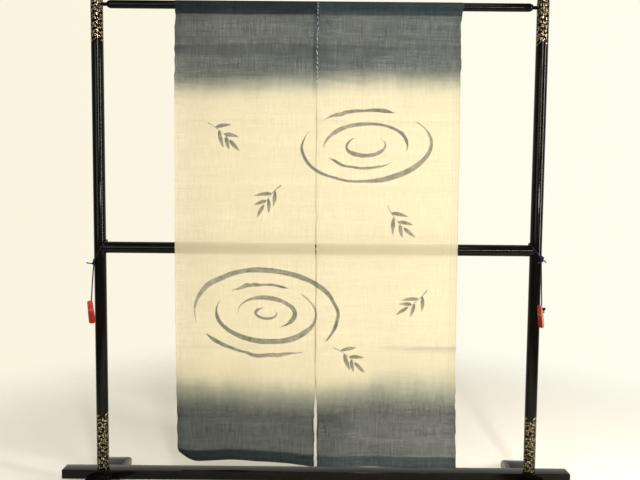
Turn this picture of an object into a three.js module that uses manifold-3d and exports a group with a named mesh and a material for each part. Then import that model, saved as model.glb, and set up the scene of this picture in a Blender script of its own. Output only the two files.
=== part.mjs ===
// A two-panel noren curtain hanging on a free-standing lacquered rack.
// Millimetres, +Z up. Origin: floor level, middle of the base. +X right, +Y away from the viewer.
import * as THREE from "three";
import { mergeVertices } from "three/addons/utils/BufferGeometryUtils.js";
import Module from "manifold-3d";

const wasm = await Module();
wasm.setup();

// ---------------------------------------------------------------- driving sizes
const GAP = 0.3; // between pieces that meet

const RACK = {
  postX: 705.3, // post axis from the middle
  postR: 19,
  postSides: 40,
  railSides: 36,
};
const BEAM = { halfLength: 834, depth: 46, under: 35, top: 65, edge: 2 };
const FOOT = { width: 80, halfLength: 180, tipHeight: 20, top: 50, flatHalf: 96, edge: 2 };
const CAP = { under: 1608, depth: 40 };
const CAP_PROFILE = [
  // half of the cap rail seen from the front: distance from the middle, underside and top above CAP.under
  { x: 0, under: 0, top: 34 },
  { x: 700, under: 0, top: 34 },
  { x: 780, under: 2, top: 36 },
  { x: 825, under: 9, top: 43 },
  { x: 855, under: 19, top: 53 },
  { x: 875, under: 29, top: 62 },
];
const TOP_RAIL = { z: 1567, r: 12.8, neckR: 5.75, shoulder: 663, neck: 672, end: 686 };
const MID_RAIL = { z: 796.8, r: 18.6 };

const CLOTH = {
  thick: 1.2, // single layer
  hemThick: 2.2, // turned-up bottom hem
  hemHeight: 38,
  pocketSeam: 1540, // height of the stitching that closes the rod pocket
  pocketSlack: 0.55, // pocket to rod, over the top
  columns: 15, // strips across a panel
  rows: 38, // strips from hem to pocket
};
const OUTLINE = [
  // edges of the two panels, from the pocket down
  { z: 1582, leftOuter: -455, leftInner: -7.2, rightInner: -4.0, rightOuter: 453 },
  { z: 1552, leftOuter: -455, leftInner: -7.4, rightInner: -4.2, rightOuter: 450 },
  { z: 1490, leftOuter: -459.5, leftInner: -8.2, rightInner: -5.0, rightOuter: 446.5 },
  { z: 1400, leftOuter: -458.5, leftInner: -8.6, rightInner: -5.4, rightOuter: 448 },
  { z: 1300, leftOuter: -459.2, leftInner: -8.8, rightInner: -5.6, rightOuter: 446.5 },
  { z: 1210, leftOuter: -459.2, leftInner: -9.0, rightInner: -5.8, rightOuter: 448.5 },
  { z: 1020, leftOuter: -458.6, leftInner: -9.4, rightInner: -6.2, rightOuter: 448.2 },
  { z: 827, leftOuter: -458.2, leftInner: -8.4, rightInner: -4.8, rightOuter: 447.8 },
  { z: 633, leftOuter: -458.6, leftInner: -7.6, rightInner: -3.2, rightOuter: 448 },
  { z: 405, leftOuter: -456, leftInner: -8.2, rightInner: -3.0, rightOuter: 448.4 },
  { z: 330, leftOuter: -456, leftInner: -7.8, rightInner: 0.4, rightOuter: 451.5 },
  { z: 240, leftOuter: -458, leftInner: -8.2, rightInner: 1.3, rightOuter: 452.8 },
  { z: 170, leftOuter: -461, leftInner: -7.9, rightInner: 1.4, rightOuter: 454.6 },
  { z: 105, leftOuter: -462.5, leftInner: -8.4, rightInner: 3.0, rightOuter: 457.4 },
  { z: 80, leftOuter: -462.5, leftInner: -8.8, rightInner: 3.6, rightOuter: 458.4 },
];
const DRAPE = [
  // how far the cloth hangs in front of the posts' plane: it leans out over the middle rail
  { z: 1540, y: -5 },
  { z: 1400, y: -7.5 },
  { z: 1150, y: -13.5 },
  { z: 950, y: -19.5 },
  { z: 840, y: -22 },
  { z: 740, y: -22.5 },
  { z: 520, y: -22 },
  { z: 260, y: -21 },
  { z: 80, y: -20 },
];
const CREASES = [
  // storage folds across both panels: height, stand-out on each panel, half-width
  { z: 1203, left: 1.2, right: 2.2, half: 22 },
  { z: 842, left: 0.8, right: 1.2, half: 22 },
  { z: 480, left: 1.4, right: 3.2, half: 24 },
];
const FOLDS = {
  // soft upright waves: place across the panel (0 left to 1 right), width, stand-out at the pocket, rail and hem
  left: [
    { at: 0.12, width: 0.12, pocket: -0.5, rail: -1.5, hem: -4 },
    { at: 0.38, width: 0.11, pocket: 0.4, rail: -0.2, hem: 5 },
    { at: 0.62, width: 0.1, pocket: -0.6, rail: -2.0, hem: -6 },
    { at: 0.86, width: 0.1, pocket: 0.3, rail: -0.2, hem: 4 },
  ],
  right: [
    { at: 0.14, width: 0.1, pocket: -0.5, rail: -1.6, hem: -5 },
    { at: 0.4, width: 0.13, pocket: 0.4, rail: -0.2, hem: 5 },
    { at: 0.66, width: 0.1, pocket: -0.5, rail: -1.8, hem: -4 },
    { at: 0.9, width: 0.09, pocket: 0.4, rail: -0.2, hem: 4 },
  ],
};
const HEM = {
  // lowest edge of each panel: place across it, height of the edge, swing towards the back
  left: [
    { at: 0, z: 90, back: 36 },
    { at: 0.14, z: 85, back: 33 },
    { at: 0.45, z: 86, back: 36 },
    { at: 0.62, z: 86, back: 34 },
    { at: 0.78, z: 84, back: 21 },
    { at: 0.9, z: 82, back: 9 },
    { at: 1, z: 81, back: 2 },
  ],
  right: [
    { at: 0, z: 84, back: 2 },
    { at: 0.3, z: 84, back: 4 },
    { at: 0.6, z: 82.5, back: 1 },
    { at: 1, z: 80.5, back: -2 },
  ],
};
const SWING_FROM = 430; // the hem's swing starts below this height
const CURL = { reach: 40, back: 0.74, rise: 0.24, inward: 0.2 }; // turned-back lower outer corner of the left panel

const CORD = { r: 1.9, sides: 8, steps: 76 };
const LOOPS = {
  // each cord's loop about its post: turn from the front towards the outside (degrees), distance from the post's axis, height
  left: [
    { turn: 52, out: 22, z: 739.5 },
    { turn: 85, out: 22, z: 752 },
    { turn: 130, out: 22, z: 770 },
    { turn: 180, out: 22, z: 791 },
    { turn: 220, out: 23, z: 809 },
    { turn: 248, out: 22, z: 817 },
    { turn: 270, out: 22.1, z: 820.5 },
    { turn: 292, out: 22, z: 817 },
    { turn: 312, out: 24.6, z: 811 },
    { turn: 332, out: 24.4, z: 799 },
    { turn: 348, out: 22.6, z: 787 },
    { turn: 365, out: 22, z: 775 },
    { turn: 385, out: 22, z: 761 },
    { turn: 401, out: 22, z: 748 },
  ],
  right: [
    { turn: 46, out: 22, z: 766 },
    { turn: 85, out: 22, z: 776 },
    { turn: 130, out: 22, z: 785 },
    { turn: 180, out: 22, z: 798 },
    { turn: 220, out: 22, z: 810 },
    { turn: 248, out: 22, z: 817 },
    { turn: 270, out: 22.1, z: 820.5 },
    { turn: 292, out: 22, z: 817 },
    { turn: 312, out: 24.4, z: 811 },
    { turn: 332, out: 24.2, z: 801.5 },
    { turn: 348, out: 22.7, z: 793 },
    { turn: 365, out: 22, z: 784 },
    { turn: 382, out: 22.1, z: 776 },
    { turn: 393, out: 22.1, z: 769 },
  ],
};
const HANGS = {
  // the cord below its knot: place and height
  left: [
    { x: -720.6, y: -18.6, z: 735 },
    { x: -722.6, y: -21.2, z: 705 },
    { x: -724.2, y: -24.2, z: 670 },
    { x: -725.4, y: -26.6, z: 640 },
    { x: -726, y: -27.6, z: 626.9 },
  ],
  right: [
    { x: 717.2, y: -21.2, z: 753 },
    { x: 718, y: -23.6, z: 712 },
    { x: 718.2, y: -27.6, z: 672 },
    { x: 717.8, y: -32.2, z: 642 },
    { x: 716.8, y: -35.6, z: 626.3 },
  ],
};
const WEDGE = { length: 74, topWidth: 16.8, lowWidth: 21, thick: 10, thinEnd: 8, edge: 1.5, topRound: 5, lowRound: 8 };
const WEDGES = {
  // middle of each wedge, lean sideways and turn about the upright (degrees)
  left: { x: -727.2, y: -28, z: 589.2, lean: 6, turn: 20 },
  right: { x: 715.8, y: -33, z: 588.4, lean: 5.5, turn: -64 },
};

const LACQUER = { color: 0x0b0a0a, roughness: 0.22, metalness: 0 };
const DYED_HEMP = { color: 0xcdbd93, roughness: 0.95, metalness: 0 };
const RED_LACQUER = { color: 0x9c2a1f, roughness: 0.45, metalness: 0 };
const NAVY_CORD = { color: 0x1d2145, roughness: 0.9, metalness: 0 };

// ---------------------------------------------------------------- helpers
const rad = THREE.MathUtils.degToRad;
const smooth = (t) => THREE.MathUtils.smoothstep(t, 0, 1);

// Value of one column of a table at a place along another column, eased between rows.
function along(table, key, place, column) {
  const rows = [...table].sort((a, b) => a[key] - b[key]);
  if (place <= rows[0][key]) return rows[0][column];
  for (let i = 1; i < rows.length; i++) {
    const low = rows[i - 1],
      high = rows[i];
    if (place <= high[key]) {
      const t = (place - low[key]) / (high[key] - low[key]);
      return THREE.MathUtils.lerp(low[column], high[column], smooth(t) * 0.5 + t * 0.5);
    }
  }
  return rows[rows.length - 1][column];
}

function solidOf(geometry) {
  const bare = new THREE.BufferGeometry().setAttribute(
    "position",
    (geometry.index ? geometry.toNonIndexed() : geometry).getAttribute("position"),
  );
  const merged = mergeVertices(bare, 1e-4);
  return new wasm.Manifold(
    new wasm.Mesh({
      numProp: 3,
      vertProperties: new Float32Array(merged.attributes.position.array),
      triVerts: new Uint32Array(merged.index.array),
    }),
  );
}

function geometryOf(solid) {
  const mesh = solid.getMesh();
  const places = new Float32Array(mesh.numVert * 3);
  for (let i = 0; i < mesh.numVert; i++)
    places.set(mesh.vertProperties.subarray(i * mesh.numProp, i * mesh.numProp + 3), i * 3);
  const geometry = new THREE.BufferGeometry();
  geometry.setAttribute("position", new THREE.BufferAttribute(places, 3));
  geometry.setIndex(new THREE.BufferAttribute(new Uint32Array(mesh.triVerts), 1));
  geometry.computeVertexNormals();
  return geometry;
}

function named(name, geometry, finish) {
  const mesh = new THREE.Mesh(geometry, new THREE.MeshStandardMaterial(finish));
  mesh.name = name;
  return mesh;
}

// ---------------------------------------------------------------- rack
function postGeometry(r) {
  const low = BEAM.top + GAP,
    high = CAP.under - GAP;
  const geometry = new THREE.CylinderGeometry(r, r, high - low, RACK.postSides);
  geometry.rotateX(Math.PI / 2);
  geometry.translate(0, 0, (low + high) / 2);
  return geometry;
}

// A rail lies along X between the posts, its ends coped to their round.
function rail(profile, z) {
  const turned = new THREE.LatheGeometry(
    profile.map((p) => new THREE.Vector2(p.r, p.x)),
    RACK.railSides,
  );
  turned.rotateZ(-Math.PI / 2);
  turned.translate(0, 0, z);
  let solid = solidOf(turned);
  for (const side of [-1, 1])
    solid = solid.subtract(
      solidOf(postGeometry(RACK.postR + GAP).translate(side * RACK.postX, 0, 0)),
    );
  return geometryOf(solid);
}

function topRail() {
  const { r, neckR, shoulder, neck } = TOP_RAIL,
    end = RACK.postX - RACK.postR * 0.7;
  return rail(
    [
      { x: -end, r: 0 },
      { x: -end, r: neckR },
      { x: -neck, r: neckR },
      { x: -neck, r: r * 0.72 },
      { x: -shoulder, r: r },
      { x: shoulder, r: r },
      { x: neck, r: r * 0.72 },
      { x: neck, r: neckR },
      { x: end, r: neckR },
      { x: end, r: 0 },
    ],
    TOP_RAIL.z,
  );
}

function midRail() {
  const end = RACK.postX - RACK.postR * 0.25;
  return rail(
    [
      { x: -end, r: 0 },
      { x: -end, r: MID_RAIL.r },
      { x: end, r: MID_RAIL.r },
      { x: end, r: 0 },
    ],
    MID_RAIL.z,
  );
}

// A profile in the XZ plane, extruded along Y about the middle.
function slab(points, depth) {
  const geometry = new THREE.ExtrudeGeometry(
    new THREE.Shape(points.map((p) => new THREE.Vector2(p.x, p.z))),
    { depth, bevelEnabled: false },
  );
  geometry.rotateX(Math.PI / 2);
  geometry.translate(0, depth / 2, 0);
  return geometry;
}

function capRail() {
  const right = CAP_PROFILE.map((p) => ({ x: p.x, under: CAP.under + p.under, top: CAP.under + p.top }));
  const left = right
    .slice(1)
    .reverse()
    .map((p) => ({ ...p, x: -p.x }));
  const all = [...left, ...right];
  return slab(
    [...all.map((p) => ({ x: p.x, z: p.under })), ...[...all].reverse().map((p) => ({ x: p.x, z: p.top }))],
    CAP.depth,
  );
}

// A profile in the YZ plane with its sharp edges taken off, extruded along X about the middle.
function bar(points, length, edge) {
  const geometry = new THREE.ExtrudeGeometry(
    new THREE.Shape(points.map((p) => new THREE.Vector2(p.y, p.z))),
    { depth: length - 2 * edge, bevelEnabled: true, bevelThickness: edge, bevelSize: edge, bevelOffset: -edge, bevelSegments: 1 },
  );
  geometry.translate(0, 0, -(length - 2 * edge) / 2);
  geometry.rotateY(Math.PI / 2);
  geometry.rotateX(Math.PI / 2);
  return geometry;
}

function baseBeam() {
  const half = BEAM.depth / 2,
    e = BEAM.edge;
  return bar(
    [
      { y: -half + e, z: BEAM.under },
      { y: half - e, z: BEAM.under },
      { y: half, z: BEAM.under + e },
      { y: half, z: BEAM.top - e },
      { y: half - e, z: BEAM.top },
      { y: -half + e, z: BEAM.top },
      { y: -half, z: BEAM.top - e },
      { y: -half, z: BEAM.under + e },
    ],
    2 * BEAM.halfLength,
    e,
  );
}

function footGeometry() {
  const notch = BEAM.depth / 2 + GAP,
    floor = BEAM.under - GAP;
  const { halfLength, tipHeight, top, flatHalf } = FOOT;
  const swell = (s) => {
    // from the flat top down to the tip
    const rows = [];
    for (let i = 0; i <= 4; i++) {
      const t = i / 4;
      rows.push({ y: s * THREE.MathUtils.lerp(flatHalf, halfLength, t), z: THREE.MathUtils.lerp(top, tipHeight, t * t) });
    }
    return rows;
  };
  return bar(
    [
      { y: -halfLength, z: 0 },
      { y: halfLength, z: 0 },
      ...swell(1).reverse(),
      { y: notch, z: top },
      { y: notch, z: floor },
      { y: -notch, z: floor },
      { y: -notch, z: top },
      ...swell(-1),
    ],
    FOOT.width,
    0,
  );
}

// ---------------------------------------------------------------- cloth
function wave(side, across, z) {
  let y = 0;
  for (const fold of FOLDS[side]) {
    const shape = Math.exp(-(((across - fold.at) / fold.width) ** 2));
    const size =
      z > MID_RAIL.z
        ? THREE.MathUtils.mapLinear(z, MID_RAIL.z, CLOTH.pocketSeam, fold.rail, fold.pocket)
        : THREE.MathUtils.lerp(fold.rail, fold.hem, smooth((MID_RAIL.z - 40 - z) / (MID_RAIL.z - 40 - 80)));
    y += size * shape;
  }
  return y;
}

// Middle of the cloth's thickness at a place across a panel and a height.
function clothPoint(side, across, z) {
  const outer = side === "left" ? "leftOuter" : "rightOuter",
    inner = side === "left" ? "leftInner" : "rightInner";
  const from = along(OUTLINE, "z", z, side === "left" ? outer : inner),
    to = along(OUTLINE, "z", z, side === "left" ? inner : outer);
  const point = { x: THREE.MathUtils.lerp(from, to, across), y: along(DRAPE, "z", z, "y"), z };
  point.y += wave(side, across, z);
  for (const crease of CREASES)
    point.y -= crease[side] * Math.max(0, 1 - Math.abs(z - crease.z) / crease.half) ** 2;
  const lowest = along(HEM[side], "at", across, "z");
  point.y += along(HEM[side], "at", across, "back") * smooth((SWING_FROM - z) / (SWING_FROM - lowest)) ** 1.3;
  if (side === "left") {
    const flap = Math.max(0, CURL.reach - (point.x - from + (z - lowest)) / Math.SQRT2);
    point.y += flap * CURL.back;
    point.z += flap * CURL.rise;
    point.x += flap * CURL.inward;
  }
  return point;
}

function rowHeights(lowest) {
  // evenly spread rows, with rows on each crease, at the hem's stitching and at the pocket's
  const rows = [];
  for (let i = 0; i <= CLOTH.rows; i++)
    rows.push(THREE.MathUtils.lerp(lowest, CLOTH.pocketSeam, i / CLOTH.rows));
  const place = (z) => {
    let best = 1;
    for (let i = 1; i < rows.length - 1; i++) if (Math.abs(rows[i] - z) < Math.abs(rows[best] - z)) best = i;
    rows[best] = z;
  };
  place(lowest + CLOTH.hemHeight);
  for (const crease of CREASES) place(crease.z);
  return rows;
}

// One panel: a closed sheet whose section runs up the front, over the rod and down the back, with the pocket open along X.
function panel(side) {
  const arc = [];
  for (let a = -20; a <= 220; a += 20) arc.push(rad(a));
  const outerR = TOP_RAIL.r + CLOTH.pocketSlack + CLOTH.thick,
    innerR = TOP_RAIL.r + CLOTH.pocketSlack;
  const sections = [];
  for (let c = 0; c <= CLOTH.columns; c++) {
    const across = c / CLOTH.columns;
    const rows = rowHeights(along(HEM[side], "at", across, "z"));
    const front = [],
      back = [];
    rows.forEach((z, i) => {
      const p = clothPoint(side, across, z);
      const half = (i === 0 || z <= rows[0] + CLOTH.hemHeight - 0.01 ? CLOTH.hemThick : CLOTH.thick) / 2;
      front.push(new THREE.Vector3(p.x, p.y - half, p.z));
      back.push(new THREE.Vector3(p.x, p.y + half, p.z));
    });
    const round = (angle, r) => {
      const z = TOP_RAIL.z + r * Math.sin(angle);
      const x = clothPoint(side, across, z).x;
      return new THREE.Vector3(x, -r * Math.cos(angle), z);
    };
    const seam = clothPoint(side, across, CLOTH.pocketSeam);
    const outer = [...front, ...arc.map((a) => round(a, outerR)), ...back.reverse()];
    const inner = [
      ...arc.map((a) => round(a, innerR)),
      new THREE.Vector3(seam.x, seam.y + 0.6, CLOTH.pocketSeam + 3.5),
    ];
    sections.push({ outer, inner });
  }

  const places = [],
    faces = [];
  const index = sections.map(({ outer, inner }) => {
    const put = (p) => places.push(p.x, p.y, p.z) / 3 - 1;
    return { outer: outer.map(put), inner: inner.map(put) };
  });
  const skin = (a, b, flip) =>
    a.forEach((_, i) => {
      const j = (i + 1) % a.length;
      const quad = flip ? [a[i], a[j], b[j], b[i]] : [a[i], b[i], b[j], a[j]];
      faces.push(quad[0], quad[1], quad[2], quad[0], quad[2], quad[3]);
    });
  for (let c = 0; c < CLOTH.columns; c++) {
    skin(index[c].outer, index[c + 1].outer, false);
    skin(index[c].inner, index[c + 1].inner, true);
  }
  for (const [c, facing] of [
    [0, -1],
    [CLOTH.columns, 1],
  ]) {
    const { outer, inner } = sections[c];
    const flat = (list) => list.map((p) => new THREE.Vector2(p.y, p.z));
    const ids = [...index[c].outer, ...index[c].inner];
    const all = [...flat(outer), ...flat(inner)];
    for (const [i, j, k] of THREE.ShapeUtils.triangulateShape(flat(outer), [flat(inner)])) {
      const turn = THREE.ShapeUtils.area([all[i], all[j], all[k]]) > 0 ? 1 : -1;
      faces.push(...(turn === facing ? [ids[i], ids[j], ids[k]] : [ids[i], ids[k], ids[j]]));
    }
  }
  const geometry = new THREE.BufferGeometry();
  geometry.setAttribute("position", new THREE.Float32BufferAttribute(places, 3));
  geometry.setIndex(faces);
  geometry.computeVertexNormals();
  return geometry;
}

// ---------------------------------------------------------------- cords and wedges
function cordGeometry(side) {
  const outward = side === "left" ? -1 : 1;
  const looped = LOOPS[side].map(
    (p) =>
      new THREE.Vector3(
        outward * (RACK.postX + p.out * Math.sin(rad(p.turn))),
        -p.out * Math.cos(rad(p.turn)),
        p.z,
      ),
  );
  const hung = HANGS[side].map((p) => new THREE.Vector3(p.x, p.y, p.z));
  const route = new THREE.CatmullRomCurve3([...looped, ...hung], false, "centripetal");
  const ring = [];
  for (let i = 0; i < CORD.sides; i++) {
    const a = (i / CORD.sides) * 2 * Math.PI;
    ring.push(new THREE.Vector2(CORD.r * Math.cos(a), CORD.r * Math.sin(a)));
  }
  return new THREE.ExtrudeGeometry(new THREE.Shape(ring), {
    steps: CORD.steps,
    extrudePath: route,
    bevelEnabled: false,
  });
}

// A key that tapers in width and thickness, its long edges rounded off.
function wedgeGeometry() {
  const { length, topWidth, lowWidth, thick, thinEnd, edge, topRound, lowRound } = WEDGE;
  const rounded = (fromEnd, r) => (fromEnd >= r ? 0 : r - Math.sqrt(r * r - (r - fromEnd) ** 2));
  const at = (z) => z / length + 0.5;
  const outline = (z) => {
    const w = THREE.MathUtils.lerp(lowWidth, topWidth, at(z)) / 2,
      t = THREE.MathUtils.lerp(thick, thinEnd, at(z)) / 2,
      pull = Math.max(rounded(length / 2 - z, topRound), rounded(length / 2 + z, lowRound)),
      c = edge;
    return [
      [-w + pull + c, -t + pull * 0.35],
      [w - pull - c, -t + pull * 0.35],
      [w - pull, -t + pull * 0.35 + c],
      [w - pull, t - pull * 0.35 - c],
      [w - pull - c, t - pull * 0.35],
      [-w + pull + c, t - pull * 0.35],
      [-w + pull, t - pull * 0.35 - c],
      [-w + pull, -t + pull * 0.35 + c],
    ].map(([x, y]) => new THREE.Vector3(x, y, z));
  };
  const heights = [
    ...[0, 0.6, 1.8, 4, 8].map((d) => d - length / 2),
    0,
    ...[5, 2.6, 1.2, 0.4, 0].map((d) => length / 2 - d),
  ];
  const rings = heights.map(outline),
    n = rings[0].length,
    places = rings.flat().flatMap((p) => [p.x, p.y, p.z]),
    faces = [];
  for (let r = 0; r < rings.length - 1; r++)
    for (let i = 0; i < n; i++) {
      const j = (i + 1) % n,
        a = r * n + i,
        b = r * n + j;
      faces.push(a, b, b + n, a, b + n, a + n);
    }
  const last = (rings.length - 1) * n;
  for (let i = 1; i < n - 1; i++) {
    faces.push(0, i + 1, i);
    faces.push(last, last + i, last + i + 1);
  }
  const geometry = new THREE.BufferGeometry();
  geometry.setAttribute("position", new THREE.Float32BufferAttribute(places, 3));
  geometry.setIndex(faces);
  geometry.computeVertexNormals();
  return geometry;
}

// ---------------------------------------------------------------- the object
const noren = new THREE.Group();

const rack = new THREE.Group();
rack.add(named("top_rail", topRail(), LACQUER));
rack.add(named("mid_rail", midRail(), LACQUER));
rack.add(named("cap_rail", capRail(), LACQUER));
rack.add(named("base_beam", baseBeam(), LACQUER));
for (const [side, sign] of [
  ["left", -1],
  ["right", 1],
]) {
  const post = named("post_" + side, postGeometry(RACK.postR), LACQUER);
  const foot = named("foot_" + side, footGeometry(), LACQUER);
  post.position.x = foot.position.x = sign * RACK.postX;
  rack.add(post, foot);

  const wedge = named("wedge_" + side, wedgeGeometry(), RED_LACQUER);
  const hung = WEDGES[side];
  wedge.position.set(hung.x, hung.y, hung.z);
  wedge.rotation.set(0, rad(-hung.lean), rad(hung.turn), "YZX");
  rack.add(wedge, named("cord_" + side, cordGeometry(side), NAVY_CORD));
}
noren.add(rack);

const cloth = new THREE.Group();
for (const side of ["left", "right"]) cloth.add(named("noren_" + side, panel(side), DYED_HEMP));
noren.add(cloth);

export default noren;
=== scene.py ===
"""A two-panel noren curtain of sheer dyed hemp on a free-standing black lacquered rack."""

import math

import bmesh
import bpy
import numpy as np
from mathutils import Matrix, Vector


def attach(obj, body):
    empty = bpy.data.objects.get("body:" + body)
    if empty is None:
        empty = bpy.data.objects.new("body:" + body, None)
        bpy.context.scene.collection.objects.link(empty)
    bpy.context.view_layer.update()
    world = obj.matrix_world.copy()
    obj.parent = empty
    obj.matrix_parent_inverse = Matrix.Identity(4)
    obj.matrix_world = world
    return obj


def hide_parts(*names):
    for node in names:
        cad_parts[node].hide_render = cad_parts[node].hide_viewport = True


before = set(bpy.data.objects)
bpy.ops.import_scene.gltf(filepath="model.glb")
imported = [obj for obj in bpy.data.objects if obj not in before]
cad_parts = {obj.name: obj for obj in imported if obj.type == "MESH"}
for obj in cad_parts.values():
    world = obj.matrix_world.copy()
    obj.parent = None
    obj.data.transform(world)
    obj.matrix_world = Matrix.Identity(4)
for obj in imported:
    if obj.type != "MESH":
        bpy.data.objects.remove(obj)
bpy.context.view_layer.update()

MM = 0.001

# ------------------------------------------------------------------ camera
CAMERA = {"focal_px": 619.4, "frame_px": 640, "x": 6.5, "y": -2000.0, "z": 953.2, "pitch": 3.64, "roll": 0.49}


def make_camera():
    data = bpy.data.cameras.new("camera")
    data.sensor_fit = "HORIZONTAL"
    data.sensor_width = 36.0
    data.lens = CAMERA["focal_px"] / CAMERA["frame_px"] * 36.0
    data.clip_start, data.clip_end = 0.01, 100.0
    camera = bpy.data.objects.new("camera", data)
    bpy.context.scene.collection.objects.link(camera)
    pitch, roll = math.radians(CAMERA["pitch"]), math.radians(CAMERA["roll"])
    ahead = Vector((0, math.cos(pitch), -math.sin(pitch)))
    right = Vector((1, 0, 0))
    up = right.cross(ahead)
    turned = math.cos(roll) * right + math.sin(roll) * up
    risen = -math.sin(roll) * right + math.cos(roll) * up
    camera.matrix_world = Matrix(
        (
            (turned.x, risen.x, -ahead.x, CAMERA["x"] * MM),
            (turned.y, risen.y, -ahead.y, CAMERA["y"] * MM),
            (turned.z, risen.z, -ahead.z, CAMERA["z"] * MM),
            (0, 0, 0, 1),
        )
    )
    bpy.context.scene.camera = camera


make_camera()

# ------------------------------------------------------------------ sizes, in millimetres, as in the model
POST_X, POST_R = 705.3, 19.0
BEAM = {"half": 834.0, "depth": 46.0, "under": 35.0, "top": 65.0}
FOOT = {"width": 80.0, "half": 180.0, "tip": 20.0, "top": 50.0, "flat": 96.0}
CAP = {"under": 1608.0, "depth": 40.0}
CAP_PROFILE = [(0, 0, 34), (700, 0, 34), (780, 2, 36), (825, 9, 43), (855, 19, 53), (875, 29, 62)]
TOP_RAIL = {"z": 1567.0, "r": 12.8, "neck_r": 5.75, "shoulder": 663.0, "neck": 672.0}
MID_RAIL = {"z": 796.8, "r": 18.6}
GOLD = {"low_top": 247.0, "high_bottom": 1452.0}

SEAM_Z = 1540.0  # stitching that closes the rod pocket
HEM_HEIGHT = 38.0
STITCHED_DOWN_TO = 782.0  # the centre seam is laced down to here and open below
OUTLINE = {
    "z": (1582, 1552, 1490, 1400, 1300, 1210, 1020, 827, 633, 405, 330, 240, 170, 105, 80),
    "left_outer": (-455, -455, -459.5, -458.5, -459.2, -459.2, -458.6, -458.2, -458.6, -456, -456, -458, -461, -462.5, -462.5),
    "left_inner": (-7.2, -7.4, -8.2, -8.6, -8.8, -9.0, -9.4, -8.4, -7.6, -8.2, -7.8, -8.2, -7.9, -8.4, -8.8),
    "right_inner": (-4.0, -4.2, -5.0, -5.4, -5.6, -5.8, -6.2, -4.8, -3.2, -3.0, 0.4, 1.3, 1.4, 3.0, 3.6),
    "right_outer": (453, 450, 446.5, 448, 446.5, 448.5, 448.2, 447.8, 448, 448.4, 451.5, 452.8, 454.6, 457.4, 458.4),
}
DRAPE = {"z": (1540, 1400, 1150, 950, 840, 740, 520, 260, 80), "y": (-5, -7.5, -13.5, -19.5, -22, -22.5, -22, -21, -20)}
CREASES = [
    {"z": 1203, "left": 1.2, "right": 2.2, "half": 22},
    {"z": 842, "left": 0.8, "right": 1.2, "half": 22},
    {"z": 480, "left": 1.4, "right": 3.2, "half": 24},
]
FOLDS = {
    "left": [(0.12, 0.12, -0.5, -1.5, -4), (0.38, 0.11, 0.4, -0.2, 5), (0.62, 0.1, -0.6, -2.0, -6), (0.86, 0.1, 0.3, -0.2, 4)],
    "right": [(0.14, 0.1, -0.5, -1.6, -5), (0.4, 0.13, 0.4, -0.2, 5), (0.66, 0.1, -0.5, -1.8, -4), (0.9, 0.09, 0.4, -0.2, 4)],
}
HEM = {
    "left": {"at": (0, 0.14, 0.45, 0.62, 0.78, 0.9, 1), "z": (90, 85, 86, 86, 84, 82, 81), "back": (36, 33, 36, 34, 21, 9, 2)},
    "right": {"at": (0, 0.3, 0.6, 1), "z": (82, 80.5, 80.5, 79.5), "back": (2, 4, 1, -2)},
}
SWING_FROM = 430.0
CURL = {"reach": 40.0, "back": 0.74, "rise": 0.24, "inward": 0.2}

CORD_R = 1.9
LOOPS = {
    "left": [
        (52, 22, 739.5), (85, 22, 752), (130, 22, 770), (180, 22, 791), (220, 23, 809), (248, 22, 817), (270, 22.1, 820.5),
        (292, 22, 817), (312, 24.6, 811), (332, 24.4, 799), (348, 22.6, 787), (365, 22, 775), (385, 22, 761), (401, 22, 748),
    ],
    "right": [
        (46, 22, 766), (85, 22, 776), (130, 22, 785), (180, 22, 798), (220, 22, 810), (248, 22, 817), (270, 22.1, 820.5),
        (292, 22, 817), (312, 24.4, 811), (332, 24.2, 801.5), (348, 22.7, 793), (365, 22, 784), (382, 22.1, 776), (393, 22.1, 769),
    ],
}
HANGS = {
    "left": [(-720.6, -18.6, 735), (-722.6, -21.2, 705), (-724.2, -24.2, 670), (-725.4, -26.6, 640), (-726, -27.6, 626.9)],
    "right": [(717.2, -21.2, 753), (718, -23.6, 712), (718.2, -27.6, 672), (717.8, -32.2, 642), (716.8, -35.6, 626.3)],
}
WEDGE = {"length": 74.0, "top": 16.8, "low": 21.0, "top_round": 5.0, "low_round": 8.0, "ridge": 7.0}
WEDGES = {"left": (-727.2, -28.0, 589.2, 6.0, 20.0), "right": (715.8, -33.0, 588.4, 5.5, -64.0)}


# ------------------------------------------------------------------ small tools
def eased(xs, ys):
    """A smooth curve through the rows of a table that doesn't overshoot them."""
    xs, ys = np.asarray(xs, float), np.asarray(ys, float)
    if xs[0] > xs[-1]:
        xs, ys = xs[::-1], ys[::-1]
    h = np.diff(xs)
    d = np.diff(ys) / h
    m = np.zeros_like(ys)
    same = d[:-1] * d[1:] > 0
    m[1:-1] = np.where(same, 2 * d[:-1] * d[1:] / np.where(same, d[:-1] + d[1:], 1), 0)
    m[0], m[-1] = d[0], d[-1]

    def at(x):
        x = np.clip(np.asarray(x, float), xs[0], xs[-1])
        i = np.clip(np.searchsorted(xs, x) - 1, 0, len(h) - 1)
        t = (x - xs[i]) / h[i]
        return (
            ys[i] * (1 + 2 * t) * (1 - t) ** 2
            + m[i] * h[i] * t * (1 - t) ** 2
            + ys[i + 1] * t * t * (3 - 2 * t)
            + m[i + 1] * h[i] * t * t * (t - 1)
        )

    return at


def smooth(t):
    t = np.clip(t, 0, 1)
    return t * t * (3 - 2 * t)


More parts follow.
